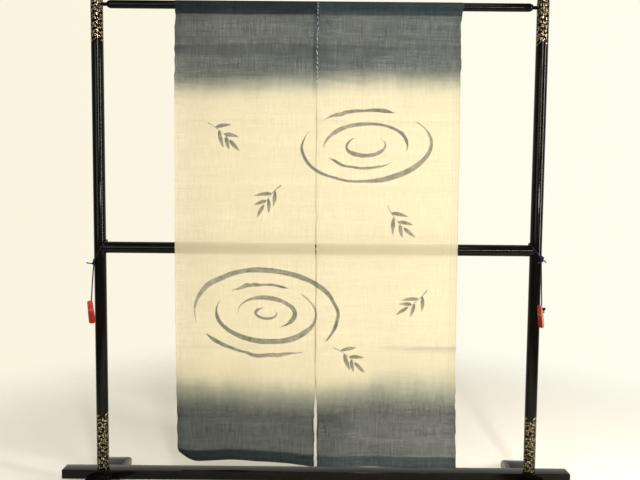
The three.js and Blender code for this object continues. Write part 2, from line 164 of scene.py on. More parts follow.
class Noise:
    """Seeded smooth noise from -1 to 1 on a repeating lattice."""

    def __init__(self, seed):
        self.lattice = np.random.RandomState(seed).rand(128, 128) * 2 - 1

    def __call__(self, x, y=0.0):
        x, y = np.broadcast_arrays(np.asarray(x, float), np.asarray(y, float))
        i, j = np.floor(x).astype(int), np.floor(y).astype(int)
        u, v = smooth(x - i), smooth(y - j)
        a = self.lattice[i % 128, j % 128]
        b = self.lattice[(i + 1) % 128, j % 128]
        c = self.lattice[i % 128, (j + 1) % 128]
        d = self.lattice[(i + 1) % 128, (j + 1) % 128]
        return a * (1 - u) * (1 - v) + b * u * (1 - v) + c * (1 - u) * v + d * u * v


def new_object(name, mesh, material=None):
    ob = bpy.data.objects.new(name, mesh)
    bpy.context.scene.collection.objects.link(ob)
    if material is not None:
        for m in material if isinstance(material, (list, tuple)) else [material]:
            mesh.materials.append(m)
    return ob


def mesh_from(name, verts, faces, shade=True):
    mesh = bpy.data.meshes.new(name)
    mesh.from_pydata([tuple(v) for v in verts], [], [tuple(f) for f in faces])
    if shade:
        mesh.polygons.foreach_set("use_smooth", [True] * len(mesh.polygons))
    mesh.update()
    return mesh


def face_outward(mesh):
    bm = bmesh.new()
    bm.from_mesh(mesh)
    bmesh.ops.recalc_face_normals(bm, faces=bm.faces)
    bm.to_mesh(mesh)
    bm.free()
    mesh.update()


# ------------------------------------------------------------------ node helpers
class Nodes:
    def __init__(self, name):
        self.material = bpy.data.materials.new(name)
        self.material.use_nodes = True
        self.tree = self.material.node_tree
        self.tree.nodes.clear()
        self.out = self.tree.nodes.new("ShaderNodeOutputMaterial")

    def node(self, kind, inputs=None, **props):
        n = self.tree.nodes.new("ShaderNode" + kind)
        for key, value in props.items():
            setattr(n, key, value)
        for key, value in (inputs or {}).items():
            self.put(n.inputs[key], value)
        return n

    def put(self, socket, value):
        if isinstance(value, bpy.types.NodeSocket):
            self.tree.links.new(value, socket)
        elif hasattr(value, "__len__") and len(value) == 3 and socket.type == "RGBA":
            socket.default_value = (*value, 1)
        else:
            socket.default_value = value

    def math(self, op, a, b=None, c=None, clamp=False):
        n = self.node("Math", operation=op, use_clamp=clamp)
        for socket, value in zip(n.inputs, (a, b, c)):
            if value is not None:
                self.put(socket, value)
        return n.outputs[0]

    def ramp(self, value, low, high, to_low=0.0, to_high=1.0, kind="SMOOTHSTEP"):
        n = self.node("MapRange", interpolation_type=kind, clamp=True) if kind == "LINEAR" else self.node("MapRange", interpolation_type=kind)
        for key, v in (("Value", value), ("From Min", low), ("From Max", high), ("To Min", to_low), ("To Max", to_high)):
            self.put(n.inputs[key], v)
        return n.outputs["Result"]

    def mix(self, fac, a, b, blend="MIX"):
        n = self.node("Mix", data_type="RGBA", blend_type=blend)
        self.put(n.inputs["Factor"], fac)
        self.put(n.inputs["A"], a)
        self.put(n.inputs["B"], b)
        return n.outputs["Result"]

    def noise(self, vector, scale, detail=2.0, rough=0.5, distortion=0.0):
        n = self.node("TexNoise", {"Vector": vector, "Scale": scale, "Detail": detail, "Roughness": rough, "Distortion": distortion})
        return n.outputs["Fac"]

    def stretched(self, vector, scale):
        return self.node("Mapping", {"Vector": vector, "Scale": scale}).outputs["Vector"]

    def attribute(self, name):
        return self.node("Attribute", attribute_name=name).outputs["Fac"]

    def place(self):
        return self.node("TexCoord").outputs["Object"]

    def split(self, vector):
        return self.node("SeparateXYZ", {"Vector": vector}).outputs

    def join(self, x, y, z):
        return self.node("CombineXYZ", {"X": x, "Y": y, "Z": z}).outputs["Vector"]

    def bump(self, height, strength, distance):
        return self.node("Bump", {"Height": height, "Strength": strength, "Distance": distance}).outputs["Normal"]

    def finish(self, shader):
        self.tree.links.new(shader, self.out.inputs["Surface"])
        return self.material


# ------------------------------------------------------------------ materials
def hemp_material():
    """Sheer plain weave: threads about a millimetre apart with open pores and uneven yarn, dyed by the sheet's own dye and ink values."""
    t = Nodes("dyed_hemp")
    place = t.place()
    x, _, z = t.split(place)
    dye, ink, load, sheer = t.attribute("dye"), t.attribute("ink"), t.attribute("ink_load"), t.attribute("sheer")

    def streak(along_x, along_z, share, detail=2.0):
        n = t.noise(t.stretched(place, (along_x, 1, along_z)), 1.0, detail, 0.55)
        return t.math("MULTIPLY", t.math("SUBTRACT", n, 0.5), share)

    def total(*parts):
        sum_of = parts[0]
        for part in parts[1:]:
            sum_of = t.math("ADD", sum_of, part)
        return sum_of

    # yarn of uneven thickness, level and upright, in short and long runs
    level = total(streak(12, 310, 1.2), streak(5, 130, 0.6), streak(1.4, 50, 0.6), streak(0.8, 26, 0.5))
    upright = total(streak(330, 17, 1.7), streak(190, 13, 0.5))
    yarn = t.math("ADD", level, upright)
    patchy = total(streak(8, 17, 0.85, 3.0), streak(22, 60, 0.4))

    # pores between the threads: their mean share of the area is the factor below
    wobble = streak(40, 40, 5.0, 1.0)
    across = t.math("COSINE", t.math("ADD", t.math("MULTIPLY", x, 2 * math.pi / 0.00105), wobble))
    down = t.math("COSINE", t.math("ADD", t.math("MULTIPLY", z, 2 * math.pi / 0.00115), wobble))
    gaps = np.cos(np.linspace(0, 2 * np.pi, 4001))
    mean = float(np.mean(smooth((gaps + 0.1) / 1.0)))
    pore = t.math("MULTIPLY", t.ramp(across, -0.1, 0.9), t.ramp(down, -0.1, 0.9))
    open_share = t.math("MULTIPLY", sheer, t.math("ADD", 1.0, t.math("MULTIPLY", yarn, 0.95), clamp=False))
    open_share = t.math("MAXIMUM", open_share, 0.15)
    clear_share = t.math("MULTIPLY", t.math("MULTIPLY", pore, open_share), 0.085 / mean**2, clamp=True)
    solid = t.math("SUBTRACT", 1.0, clear_share, clamp=True)

    # colour: undyed hemp to slate dye, then the brushed ink; light that comes through the threads has its own tint
    shade = t.ramp(yarn, -0.55, 0.55, 0.0, 1.0, "LINEAR")
    undyed = t.mix(shade, (0.665, 0.588, 0.376), (0.735, 0.658, 0.438))
    undyed_through = t.mix(shade, (0.64, 0.57, 0.39), (0.84, 0.765, 0.55))
    depth = t.ramp(t.math("ADD", patchy, t.math("MULTIPLY", yarn, 0.5)), -0.45, 0.45, 0.0, 1.0, "LINEAR")
    slate = t.mix(depth, (0.013, 0.0205, 0.0240), (0.026, 0.036, 0.0395))
    slate_through = t.mix(depth, (0.095, 0.106, 0.102), (0.315, 0.328, 0.288))
    edge = t.math("MULTIPLY", t.math("MULTIPLY", dye, t.math("SUBTRACT", 1.0, dye)), t.math("ADD", t.math("MULTIPLY", yarn, 0.55), t.math("MULTIPLY", patchy, 1.3)))
    soaked = t.math("ADD", dye, edge, clamp=True)
    ground = t.mix(soaked, undyed, slate)
    ground_through = t.mix(soaked, undyed_through, slate_through)
    half_dyed = t.math("MULTIPLY", t.math("MULTIPLY", t.math("POWER", soaked, 3.0), t.math("SUBTRACT", 1.0, soaked)), 9.48)
    ground = t.mix(half_dyed, ground, (0.87, 0.98, 0.995), "MULTIPLY")
    ground_through = t.mix(half_dyed, ground_through, (0.87, 0.98, 0.995), "MULTIPLY")
    # painted light and shade in the cloth's colour: darker along its old fold lines, behind the middle rail and along
    # the rolled seam edges, lighter along the hem's folds and on the right pocket and hem
    painted_light_factor = t.math("SUBTRACT", 1.0, t.math("MULTIPLY", t.attribute("painted_light_and_threads"), 0.2))
    ground = t.mix(1.0, ground, painted_light_factor, "MULTIPLY")
    ground_through = t.mix(1.0, ground_through, painted_light_factor, "MULTIPLY")
    bleed = t.math("ADD", ink, streak(260, 260, 2.6))
    brushed = t.math("ADD", load, total(streak(52, 52, 0.55), streak(150, 150, 0.35)), clamp=True)
    stroke = t.math("MULTIPLY", t.ramp(bleed, 0.9, -1.0), brushed)
    pooled = t.math("MULTIPLY", t.ramp(bleed, -0.2, -1.2), t.ramp(bleed, -3.4, -1.4))
    tone = t.mix(shade, (0.036, 0.034, 0.021), (0.060, 0.055, 0.032))
    tone = t.mix(t.math("MULTIPLY", pooled, 0.55), tone, (0.027, 0.027, 0.021))
    colour = t.mix(stroke, ground, tone)
    # the light through the threads is scaled by the sheer value, which also holds painted light and shade
    through = t.mix(1.0, t.mix(stroke, ground_through, (0.096, 0.089, 0.052)), t.math("MINIMUM", sheer, 1.5), "MULTIPLY")

    height = t.math("MAXIMUM", t.math("ADD", t.math("MULTIPLY", across, -0.5), upright), t.math("ADD", t.math("MULTIPLY", down, -0.5), level))
    normal = t.bump(height, 0.35, 0.0004)
    face = t.node("BsdfPrincipled", {"Base Color": colour, "Roughness": 0.85, "Specular IOR Level": 0.12, "Normal": normal})
    glow = t.node("BsdfTranslucent", {"Color": through, "Normal": normal})
    body = t.node("MixShader", {"Fac": 0.30, 1: face.outputs[0], 2: glow.outputs[0]})
    clear = t.node("BsdfTransparent", {"Color": (1, 1, 1)})
    cloth = t.node("MixShader", {"Fac": solid, 1: clear.outputs[0], 2: body.outputs[0]})
    return t.finish(cloth.outputs[0])


def thread_material(name, low, high, undyed=None):
    """Twisted thread; undyed gives its two colours where it runs through the undyed middle of the cloth."""
    t = Nodes(name)
    place = t.place()
    fuzz = t.noise(place, 900.0, 2.0, 0.6)
    spread = t.ramp(fuzz, 0.3, 0.7, 0.0, 1.0, "LINEAR")
    colour = t.mix(spread, low, high)
    if undyed:
        _, _, z = t.split(place)
        colour = t.mix(t.ramp(z, 1.27, 1.36), t.mix(spread, *undyed), colour)
    face = t.node("BsdfPrincipled", {"Base Color": colour, "Roughness": 0.88, "Specular IOR Level": 0.2, "Normal": t.bump(fuzz, 0.5, 0.0004)})
    return t.finish(face.outputs[0])


def lacquer_nodes(t, place):
    """Black lacquer: faint brown depth, a hand-rubbed sheen and dusty patches in the gloss."""
    broad = t.noise(place, 14.0, 3.0, 0.55)
    fine = t.noise(t.stretched(place, (160, 160, 22)), 1.0, 3.0, 0.6)
    colour = t.mix(t.ramp(broad, 0.35, 0.7, 0.0, 1.0, "LINEAR"), (0.0022, 0.0018, 0.0012), (0.0050, 0.0037, 0.0022))
    rough = t.math("ADD", t.ramp(broad, 0.3, 0.75, 0.075, 0.14, "LINEAR"), t.math("MULTIPLY", t.math("SUBTRACT", fine, 0.5), 0.06))
    normal = t.bump(t.math("ADD", fine, t.math("MULTIPLY", broad, 2.0)), 0.06, 0.0006)
    return colour, rough, normal


def lacquer_material():
    t = Nodes("black_lacquer")
    colour, rough, normal = lacquer_nodes(t, t.place())
    face = t.node("BsdfPrincipled", {"Base Color": colour, "Roughness": rough, "Specular IOR Level": 0.13, "Normal": normal})
    return t.finish(face.outputs[0])


def gilded_material():
    """The posts: black lacquer whose two ends carry a gold scroll pattern with a cusped edge."""
    t = Nodes("gilded_lacquer")
    place = t.place()
    x, y, z = t.split(place)
    colour, rough, normal = lacquer_nodes(t, place)
    turn = t.math("ARCTAN2", x, t.math("MULTIPLY", y, -1.0))
    round_m = t.math("MULTIPLY", turn, POST_R * MM)
    cusp = t.math("SUBTRACT", 1.0, t.math("ABSOLUTE", t.math("SINE", t.math("MULTIPLY", turn, 1.5))))
    cusp = t.math("POWER", cusp, 0.8)
    low_edge = t.math("SUBTRACT", (GOLD["low_top"] + 4) * MM, t.math("MULTIPLY", cusp, 0.014))
    high_edge = t.math("ADD", (GOLD["high_bottom"] - 4) * MM, t.math("MULTIPLY", cusp, 0.014))
    low_zone = t.math("LESS_THAN", z, low_edge)
    high_zone = t.math("GREATER_THAN", z, high_edge)
    zone = t.math("MAXIMUM", low_zone, high_zone)
    rim_low = t.math("LESS_THAN", t.math("ABSOLUTE", t.math("SUBTRACT", z, low_edge)), 0.0012)
    rim_high = t.math("LESS_THAN", t.math("ABSOLUTE", t.math("SUBTRACT", z, high_edge)), 0.0012)
    rim = t.math("MAXIMUM", rim_low, rim_high)

    # scrolls: a bold curl with a bud in each cell, turned the other way in every second cell, and single leaves between
    cell = 2 * math.pi * POST_R * MM / 9
    flow = t.math("MULTIPLY", t.math("SUBTRACT", t.noise(place, 55.0, 1.0), 0.5), 0.010)
    u = t.math("ADD", t.math("DIVIDE", round_m, cell), t.math("DIVIDE", flow, cell))
    v = t.math("ADD", t.math("DIVIDE", z, cell), t.math("DIVIDE", flow, cell))
    row = t.math("FLOOR", v)
    u = t.math("ADD", u, t.math("MULTIPLY", t.math("FLOORED_MODULO", row, 2.0), 0.5))
    column = t.math("FLOOR", u)
    du = t.math("SUBTRACT", t.math("SUBTRACT", u, column), 0.5)
    dv = t.math("SUBTRACT", t.math("SUBTRACT", v, row), 0.5)
    hand = t.math("SUBTRACT", t.math("MULTIPLY", t.math("FLOORED_MODULO", t.math("ADD", row, column), 2.0), 2.0), 1.0)
    reach = t.math("SQRT", t.math("ADD", t.math("MULTIPLY", du, du), t.math("MULTIPLY", dv, dv)))
    spin = t.math("DIVIDE", t.math("MULTIPLY", t.math("ARCTAN2", dv, du), hand), 2 * math.pi)
    wind = t.math("FRACT", t.math("ADD", t.math("SUBTRACT", t.math("MULTIPLY", reach, 2.1), spin), 8.0))
    stem = t.math("LESS_THAN", t.math("ABSOLUTE", t.math("SUBTRACT", wind, 0.5)), 0.125)
    stem = t.math("MULTIPLY", t.math("MULTIPLY", stem, t.math("LESS_THAN", reach, 0.47)), t.math("GREATER_THAN", reach, 0.20))
    bud = t.math("LESS_THAN", reach, 0.115)
    leafy = t.node("TexVoronoi", {"Vector": t.join(u, v, 0.0), "Scale": 1.9, "Randomness": 0.9}, feature="F1").outputs["Distance"]
    leaves = t.math("MULTIPLY", t.math("LESS_THAN", leafy, 0.26), t.math("GREATER_THAN", reach, 0.36))
    motif = t.math("MAXIMUM", t.math("MAXIMUM", stem, bud), leaves)
    worn = t.math("GREATER_THAN", t.noise(place, 260.0, 3.0, 0.65), 0.43)
    gilt = t.math("MULTIPLY", t.math("MULTIPLY", motif, worn), zone)
    gilt = t.math("MAXIMUM", gilt, t.math("MULTIPLY", t.math("MULTIPLY", rim, worn), t.math("GREATER_THAN", t.noise(place, 110.0, 1.0), 0.5)))

    gold = t.mix(t.ramp(t.noise(place, 170.0, 2.0), 0.38, 0.62, 0.0, 1.0, "LINEAR"), (0.17, 0.095, 0.025), (1.0, 0.88, 0.58))
    base = t.mix(gilt, colour, gold)
    gloss = t.math("ADD", t.math("MULTIPLY", rough, t.math("SUBTRACT", 1.0, gilt)), t.math("MULTIPLY", gilt, 0.25))
    metal = t.math("MULTIPLY", gilt, 0.74)
    facets = t.math("MULTIPLY", t.noise(place, 210.0, 1.0), t.math("MULTIPLY", gilt, 1.2))
    relief = t.bump(t.math("ADD", gilt, facets), 0.26, 0.0007)
    dull = t.math("SUBTRACT", 0.13, t.math("MULTIPLY", zone, 0.09))  # the lacquer between the gold has lost its gloss
    face = t.node("BsdfPrincipled", {"Base Color": base, "Roughness": gloss, "Metallic": metal, "Specular IOR Level": dull, "Normal": relief})
    return t.finish(face.outputs[0])


def red_material():
    """Red lacquer over wood, paler above and along the ridge across the middle: the pale line along the ridge is a
    painted highlight as well as rubbed wear, with rubbed patches besides.
    """
    t = Nodes("red_lacquer")
    place = t.place()
    _, _, z = t.split(place)
    wear = t.noise(place, 90.0, 4.0, 0.65)
    grain = t.noise(t.stretched(place, (260, 260, 24)), 1.0, 3.0)
    red = t.mix(t.ramp(grain, 0.3, 0.7, 0.0, 1.0, "LINEAR"), (0.195, 0.0065, 0.0050), (0.285, 0.0135, 0.0095))
    # paler above the ridge, and a pale line along the ridge that is a painted highlight on a rubbed edge
    upper = t.ramp(z, (WEDGE["ridge"] - 3) * MM, (WEDGE["ridge"] + 5) * MM)
    ridge = t.ramp(t.math("ABSOLUTE", t.math("SUBTRACT", z, WEDGE["ridge"] * MM)), 0.0042, 0.0)
    worn = t.math("ADD", t.math("MULTIPLY", upper, 0.26), t.math("MULTIPLY", ridge, 0.75))
    worn = t.math("ADD", worn, t.ramp(wear, 0.50, 0.72, -0.05, 0.45), clamp=True)
    colour = t.mix(worn, red, (0.36, 0.105, 0.066))
    rough = t.ramp(wear, 0.3, 0.7, 0.30, 0.52, "LINEAR")
    face = t.node("BsdfPrincipled", {"Base Color": colour, "Roughness": rough, "Specular IOR Level": 0.18, "Normal": t.bump(grain, 0.15, 0.0005)})
    return t.finish(face.outputs[0])


def wood_material():
    t = Nodes("bare_wood")
    place = t.place()
    grain = t.noise(t.stretched(place, (420, 420, 26)), 1.0, 4.0, 0.6, 0.3)
    colour = t.mix(t.ramp(grain, 0.3, 0.7, 0.0, 1.0, "LINEAR"), (0.24, 0.120, 0.072), (0.40, 0.225, 0.140))
    face = t.node("BsdfPrincipled", {"Base Color": colour, "Roughness": 0.72, "Specular IOR Level": 0.3, "Normal": t.bump(grain, 0.3, 0.0004)})
    return t.finish(face.outputs[0])


def floor_material():
    """Pale floor that fades out into the background away from the object."""
    t = Nodes("pale_floor")
    x, y, _ = t.split(t.place())
    far = t.math("SQRT", t.math("ADD", t.math("MULTIPLY", x, x), t.math("MULTIPLY", y, y)))
    fade = t.ramp(far, 1.0, 2.3)
    face = t.node("BsdfPrincipled", {"Base Color": (0.93, 0.895, 0.80), "Roughness": 0.8, "Specular IOR Level": 0.2})
    clear = t.node("BsdfTransparent", {"Color": (1, 1, 1)})
    both = t.node("MixShader", {"Fac": fade, 1: face.outputs[0], 2: clear.outputs[0]})
    return t.finish(both.outputs[0])


HEMP = hemp_material()
PALE_THREAD = thread_material("pale_thread", (0.42, 0.46, 0.47), (0.66, 0.71, 0.72), ((0.52, 0.44, 0.26), (0.68, 0.60, 0.39)))
SLATE_THREAD = thread_material("slate_thread", (0.13, 0.14, 0.135), (0.24, 0.245, 0.225))
NAVY = thread_material("navy_cord", (0.0030, 0.0030, 0.0095), (0.0105, 0.0100, 0.030))
BLACK = lacquer_material()
GILDED = gilded_material()
RED = red_material()
WOOD = wood_material()


# ------------------------------------------------------------------ cords first
def cord_points(side):
    out = -1 if side == "left" else 1
    points = []
    for turn, far, z in LOOPS[side]:
        a = math.radians(turn)
        points.append((out * (POST_X + far * math.sin(a)), -far * math.cos(a), z))
    points += HANGS[side]
    x, y, z, lean, _ = WEDGES[side]
    end = points[-1]
    points.append((end[0] + (0.5 if side == "left" else 0.2), end[1] - 0.4, end[2] - 12.0))
    points.append((end[0] + (1.0 if side == "left" else 0.4), end[1] - 0.6, end[2] - 22.0))
    return [Vector(p) * MM for p in points]


def catmull(points, per=12):
    """Points along a centripetal curve through the given ones."""
    p = [2 * points[0] - points[1], *points, 2 * points[-1] - points[-2]]
    made = []
    for i in range(1, len(p) - 2):
        p0, p1, p2, p3 = p[i - 1 : i + 3]
        t0 = 0.0
        t1 = t0 + math.sqrt((p1 - p0).length)
        t2 = t1 + math.sqrt((p2 - p1).length)
        t3 = t2 + math.sqrt((p3 - p2).length)
        for k in range(per):
            t = t1 + (t2 - t1) * k / per
            a1 = (t1 - t) / (t1 - t0) * p0 + (t - t0) / (t1 - t0) * p1
            a2 = (t2 - t) / (t2 - t1) * p1 + (t - t1) / (t2 - t1) * p2
            a3 = (t3 - t) / (t3 - t2) * p2 + (t - t2) / (t3 - t2) * p3
            b1 = (t2 - t) / (t2 - t0) * a1 + (t - t0) / (t2 - t0) * a2
            b2 = (t3 - t) / (t3 - t1) * a2 + (t - t1) / (t3 - t1) * a3
            made.append((t2 - t) / (t2 - t1) * b1 + (t - t1) / (t2 - t1) * b2)
    made.append(points[-1])
    return made


def tube(points, radius, sides=8, closed=False, twist=0.0, lobes=0, depth=0.0):
    """Vertices and faces of a round tube along points, its section turning by twist per metre with shallow lobes for the strands."""
    n = len(points)
    verts, faces = [], []
    normal = None
    run = 0.0
    for i, p in enumerate(points):
        a = points[i - 1] if (i > 0 or closed) else p
        b = points[(i + 1) % n] if (i < n - 1 or closed) else p
        along = (b - a).normalized()
        if normal is None:
            normal = along.orthogonal().normalized()
        normal = (normal - along * normal.dot(along)).normalized()
        side = along.cross(normal)
        if i:
            run += (p - points[i - 1]).length
        for k in range(sides):
            t = 2 * math.pi * k / sides
            r = radius * (1 - depth * (0.5 + 0.5 * math.cos(lobes * (t + twist * run)))) if lobes else radius
            verts.append(p + r * (math.cos(t) * normal + math.sin(t) * side))
    rings = n if closed else n - 1
    for i in range(rings):
        for k in range(sides):
            j = (k + 1) % sides
            a, b = i * sides, ((i + 1) % n) * sides
            faces.append((a + k, a + j, b + j, b + k))
    if not closed:
        faces.append(tuple(range(sides))[::-1])
        faces.append(tuple(range((n - 1) * sides, n * sides)))
    return verts, faces


class Heap:
    """Many small shapes joined into one mesh."""

    def __init__(self):
        self.verts, self.faces = [], []

    def add(self, verts, faces):
        base = len(self.verts)
        self.verts += [tuple(v) for v in verts]
        self.faces += [tuple(base + i for i in f) for f in faces]

    def piece(self, name, material):
        return new_object(name, mesh_from(name, self.verts, self.faces), material)


def knot_path(centre, size, tilt, turns=60):
    """A drawn-up overhand knot; size gives its spread across, front to back and upright."""
    points = []
    spin = Matrix.Rotation(tilt, 3, "Y") @ Matrix.Rotation(0.5, 3, "X")
    for i in range(turns):
        t = 2 * math.pi * i / turns
        p = Vector((size[0] * (math.sin(t) + 2 * math.sin(2 * t)), -0.75 * size[1] * math.sin(3 * t), size[2] * (math.cos(t) - 2 * math.cos(2 * t))))
        points.append(centre + spin @ p * MM)
    return points


def make_cords():
    made = {}
    for side in ("left", "right"):
        points = cord_points(side)
        data = bpy.data.curves.new("cord_line_" + side, "CURVE")
        data.dimensions = "3D"
        data.bevel_depth = CORD_R * MM
        data.bevel_resolution = 3
        data.resolution_u = 10
        data.use_fill_caps = True
        spline = data.splines.new("BEZIER")
        spline.bezier_points.add(len(points) - 1)
        for bp, p in zip(spline.bezier_points, points):
            bp.co = p
            bp.handle_left_type = bp.handle_right_type = "AUTO"
        data.materials.append(NAVY)
        cord = bpy.data.objects.new("cord_line_" + side, data)
        bpy.context.scene.collection.objects.link(cord)
        made[side] = (cord, points)
    return made


CORDS = make_cords()


def make_knots():
    """The knot on each loop, with its short free end, and the stop knot that shows beside the right wedge."""
    made = {}
    for side, tails, tip in (
        ("left", [(-719.6, -18.4, 745.5), (-725, -20.0, 744.6), (-731, -21.0, 746.0), (-737, -21.6, 747.0), (-741, -21.8, 747.6)], 1.25),
        ("right", [(716.6, -19.6, 768.0), (719.5, -21.6, 778.5), (723.8, -21.0, 777.0), (722.0, -20.8, 768.5), (727.2, -20.2, 766.5), (731.5, -20.0, 761.5)], 1.3),
    ):
        heap = Heap()
        a = math.radians(LOOPS[side][-1][0])
        out = -1 if side == "left" else 1
        spot = Vector((out * (POST_X + 23.4 * math.sin(a)), -23.4 * math.cos(a), LOOPS[side][-1][2] - 2.5)) * MM
        heap.add(*tube(knot_path(spot, (1.55, 1.4, 1.8), 0.6 * out), 1.8 * MM, 10, closed=True))
        free = catmull([Vector(p) * MM for p in tails], 6)
        heap.add(*tube(free, 1.75 * MM, 10))
        heap.add(*tube([free[-1] + (free[-2] - free[-1]).normalized() * d * MM for d in (3.2, 2.6, 1.4, 0.2, -0.6)], 1.75 * tip * MM, 10))
        if side == "right":
            stop = Vector((722.8, -40.0, 613.0)) * MM
            heap.add(*tube(knot_path(stop, (1.35, 1.2, 2.2), 0.15), 1.75 * MM, 10, closed=True))
            heap.add(*tube(catmull([stop + Vector((-7.5, 5.2, 1.5)) * MM, stop + Vector((-3.6, 2.2, 0.6)) * MM, stop], 6), 1.6 * MM, 8))
            heap.add(*tube(catmull([stop, stop + Vector((1.2, 0.4, -7)) * MM, stop + Vector((0.4, 0.8, -12)) * MM], 6), 1.5 * MM, 8))
        made[side] = heap.piece("cord_knot_" + side, NAVY)
    return made


KNOTS = make_knots()


# ------------------------------------------------------------------ wedges
def make_wedge(side):
    """A wooden key with rounded ends, thickest at a low ridge across the middle: red faces, bare sides."""
    x, y, z, lean, turn = WEDGES[side]
    length = WEDGE["length"]
    thick = eased((-length / 2, WEDGE["ridge"] - 6, WEDGE["ridge"], WEDGE["ridge"] + 6, length / 2), (8.4, 9.9, 10.4, 9.8, 7.6))

    def rounded(d, r):
        return 0.0 if d >= r else r - math.sqrt(max(0.0, r * r - (r - d) ** 2))

    steps = [0, 0.4, 1.0, 2.0, 3.4, 5.4, 8.0]
    heights = [-length / 2 + d for d in steps] + list(np.linspace(-length / 2 + 11, length / 2 - 8, 14)) + [length / 2 - d for d in (5.0, 3.4, 2.0, 1.0, 0.4, 0.0)]
    rows = []
    for h in heights:
        q = h / length + 0.5
        pull = max(rounded(length / 2 - h, WEDGE["top_round"]), rounded(length / 2 + h, WEDGE["low_round"]))
        w = (WEDGE["low"] * (1 - q) + WEDGE["top"] * q) / 2 - pull
        t = float(thick(h)) / 2 - 0.35 * pull
        corner = min(1.7, 0.8 * w, 0.8 * t)
        ring = []
        for sx, sy, start in ((1, -1, -90), (1, 1, 0), (-1, 1, 90), (-1, -1, 180)):
            for k in range(4):
                a = math.radians(start + 30 * k)
                ring.append((sx * (w - corner) + corner * math.cos(a), sy * (t - corner) + corner * math.sin(a), h))
        rows.append(ring)
    n = len(rows[0])
    verts = [Vector(v) * MM for ring in rows for v in ring]
    faces, kinds = [], []
    for i in range(len(rows) - 1):
        for k in range(n):
            j = (k + 1) % n
            faces.append((i * n + k, i * n + j, (i + 1) * n + j, (i + 1) * n + k))
            kinds.append(1 if k in (2, 3, 4, 10, 11, 12) else 0)
    faces += [tuple(range(n))[::-1], tuple(range((len(rows) - 1) * n, len(rows) * n))]
    kinds += [0, 0]
    mesh = mesh_from("wedge_key_" + side, verts, faces)
    face_outward(mesh)
    ob = new_object("wedge_key_" + side, mesh, [RED, WOOD])
    mesh.polygons.foreach_set("material_index", kinds)
    ob.matrix_world = (
        Matrix.Translation(Vector((x, y, z)) * MM)
        @ Matrix.Rotation(math.radians(-lean), 4, "Y")
        @ Matrix.Rotation(math.radians(turn), 4, "Z")
    )
    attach(ob, "root")
    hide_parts("wedge_" + side)
    return ob


KEYS = {side: make_wedge(side) for side in ("left", "right")}

for side in ("left", "right"):
    cord, points = CORDS[side]
    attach(cord, "root")
    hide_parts("cord_" + side)
    knot = KNOTS[side]
    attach(knot, "root")


# ------------------------------------------------------------------ rack
def lathe(name, profile, sides, axis, material):
    """A turned piece: profile rows are (distance along the axis, radius), rounded by the rows themselves."""
    verts, faces = [], []
    n = len(profile)
    for h, r in profile:
        for k in range(sides):
            t = 2 * math.pi * k / sides
            c, s = r * math.cos(t), r * math.sin(t)
            verts.append((h, c, s) if axis == "X" else (c, s, h))
    for i in range(n - 1):
        for k in range(sides):
            j = (k + 1) % sides
            faces.append((i * sides + k, i * sides + j, (i + 1) * sides + j, (i + 1) * sides + k))
    faces.append(tuple(range(sides)))
    faces.append(tuple(range((n - 1) * sides, n * sides)))
    mesh = mesh_from(name, [Vector(v) * MM for v in verts], faces)
    face_outward(mesh)
    return new_object(name, mesh, material)


def rounded_end(h0, r, edge, way):
    """Rows that round off the end of a turned piece."""
    rows = []
    for i in range(5):
        a = math.pi / 2 * i / 4
        rows.append((h0 + way * edge * (1 - math.sin(a)), r - edge * (1 - math.cos(a))))
    return rows


def sharp_shade(ob, degrees=35):
    mesh = ob.data
    mesh.set_sharp_from_angle(angle=math.radians(degrees))


def bevel_edges(bm, offset, segments=3, angle=0.5):
    edges = [e for e in bm.edges if len(e.link_faces) == 2 and e.calc_face_angle(0) > angle]
    bmesh.ops.bevel(bm, geom=edges, offset=offset * MM, segments=segments, profile=0.5, affect="EDGES", clamp_overlap=True)


def prism(name, points, length, axis, edge, material, angle=0.5):
    """A sawn piece: its outline extruded along an axis, about the middle, with its edges eased."""
    bm = bmesh.new()
    rings = []
    for s in (-0.5, 0.5):
        ring = []
        for a, b in points:
            ring.append(bm.verts.new(Vector((s * length, a, b) if axis == "X" else (a, s * length, b)) * MM))
        rings.append(ring)
    n = len(points)
    for i in range(n):
        j = (i + 1) % n
        bm.faces.new((rings[0][i], rings[0][j], rings[1][j], rings[1][i]))
    bm.faces.new(rings[0][::-1])
    bm.faces.new(rings[1])
    bmesh.ops.recalc_face_normals(bm, faces=bm.faces)
    bevel_edges(bm, edge, 3, angle)
    mesh = bpy.data.meshes.new(name)
    bm.to_mesh(mesh)
    bm.free()
    mesh.polygons.foreach_set("use_smooth", [True] * len(mesh.polygons))
    ob = new_object(name, mesh, material)
    return ob


def rack_piece(ob, node):
    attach(ob, "root")
    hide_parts(node)
    return ob


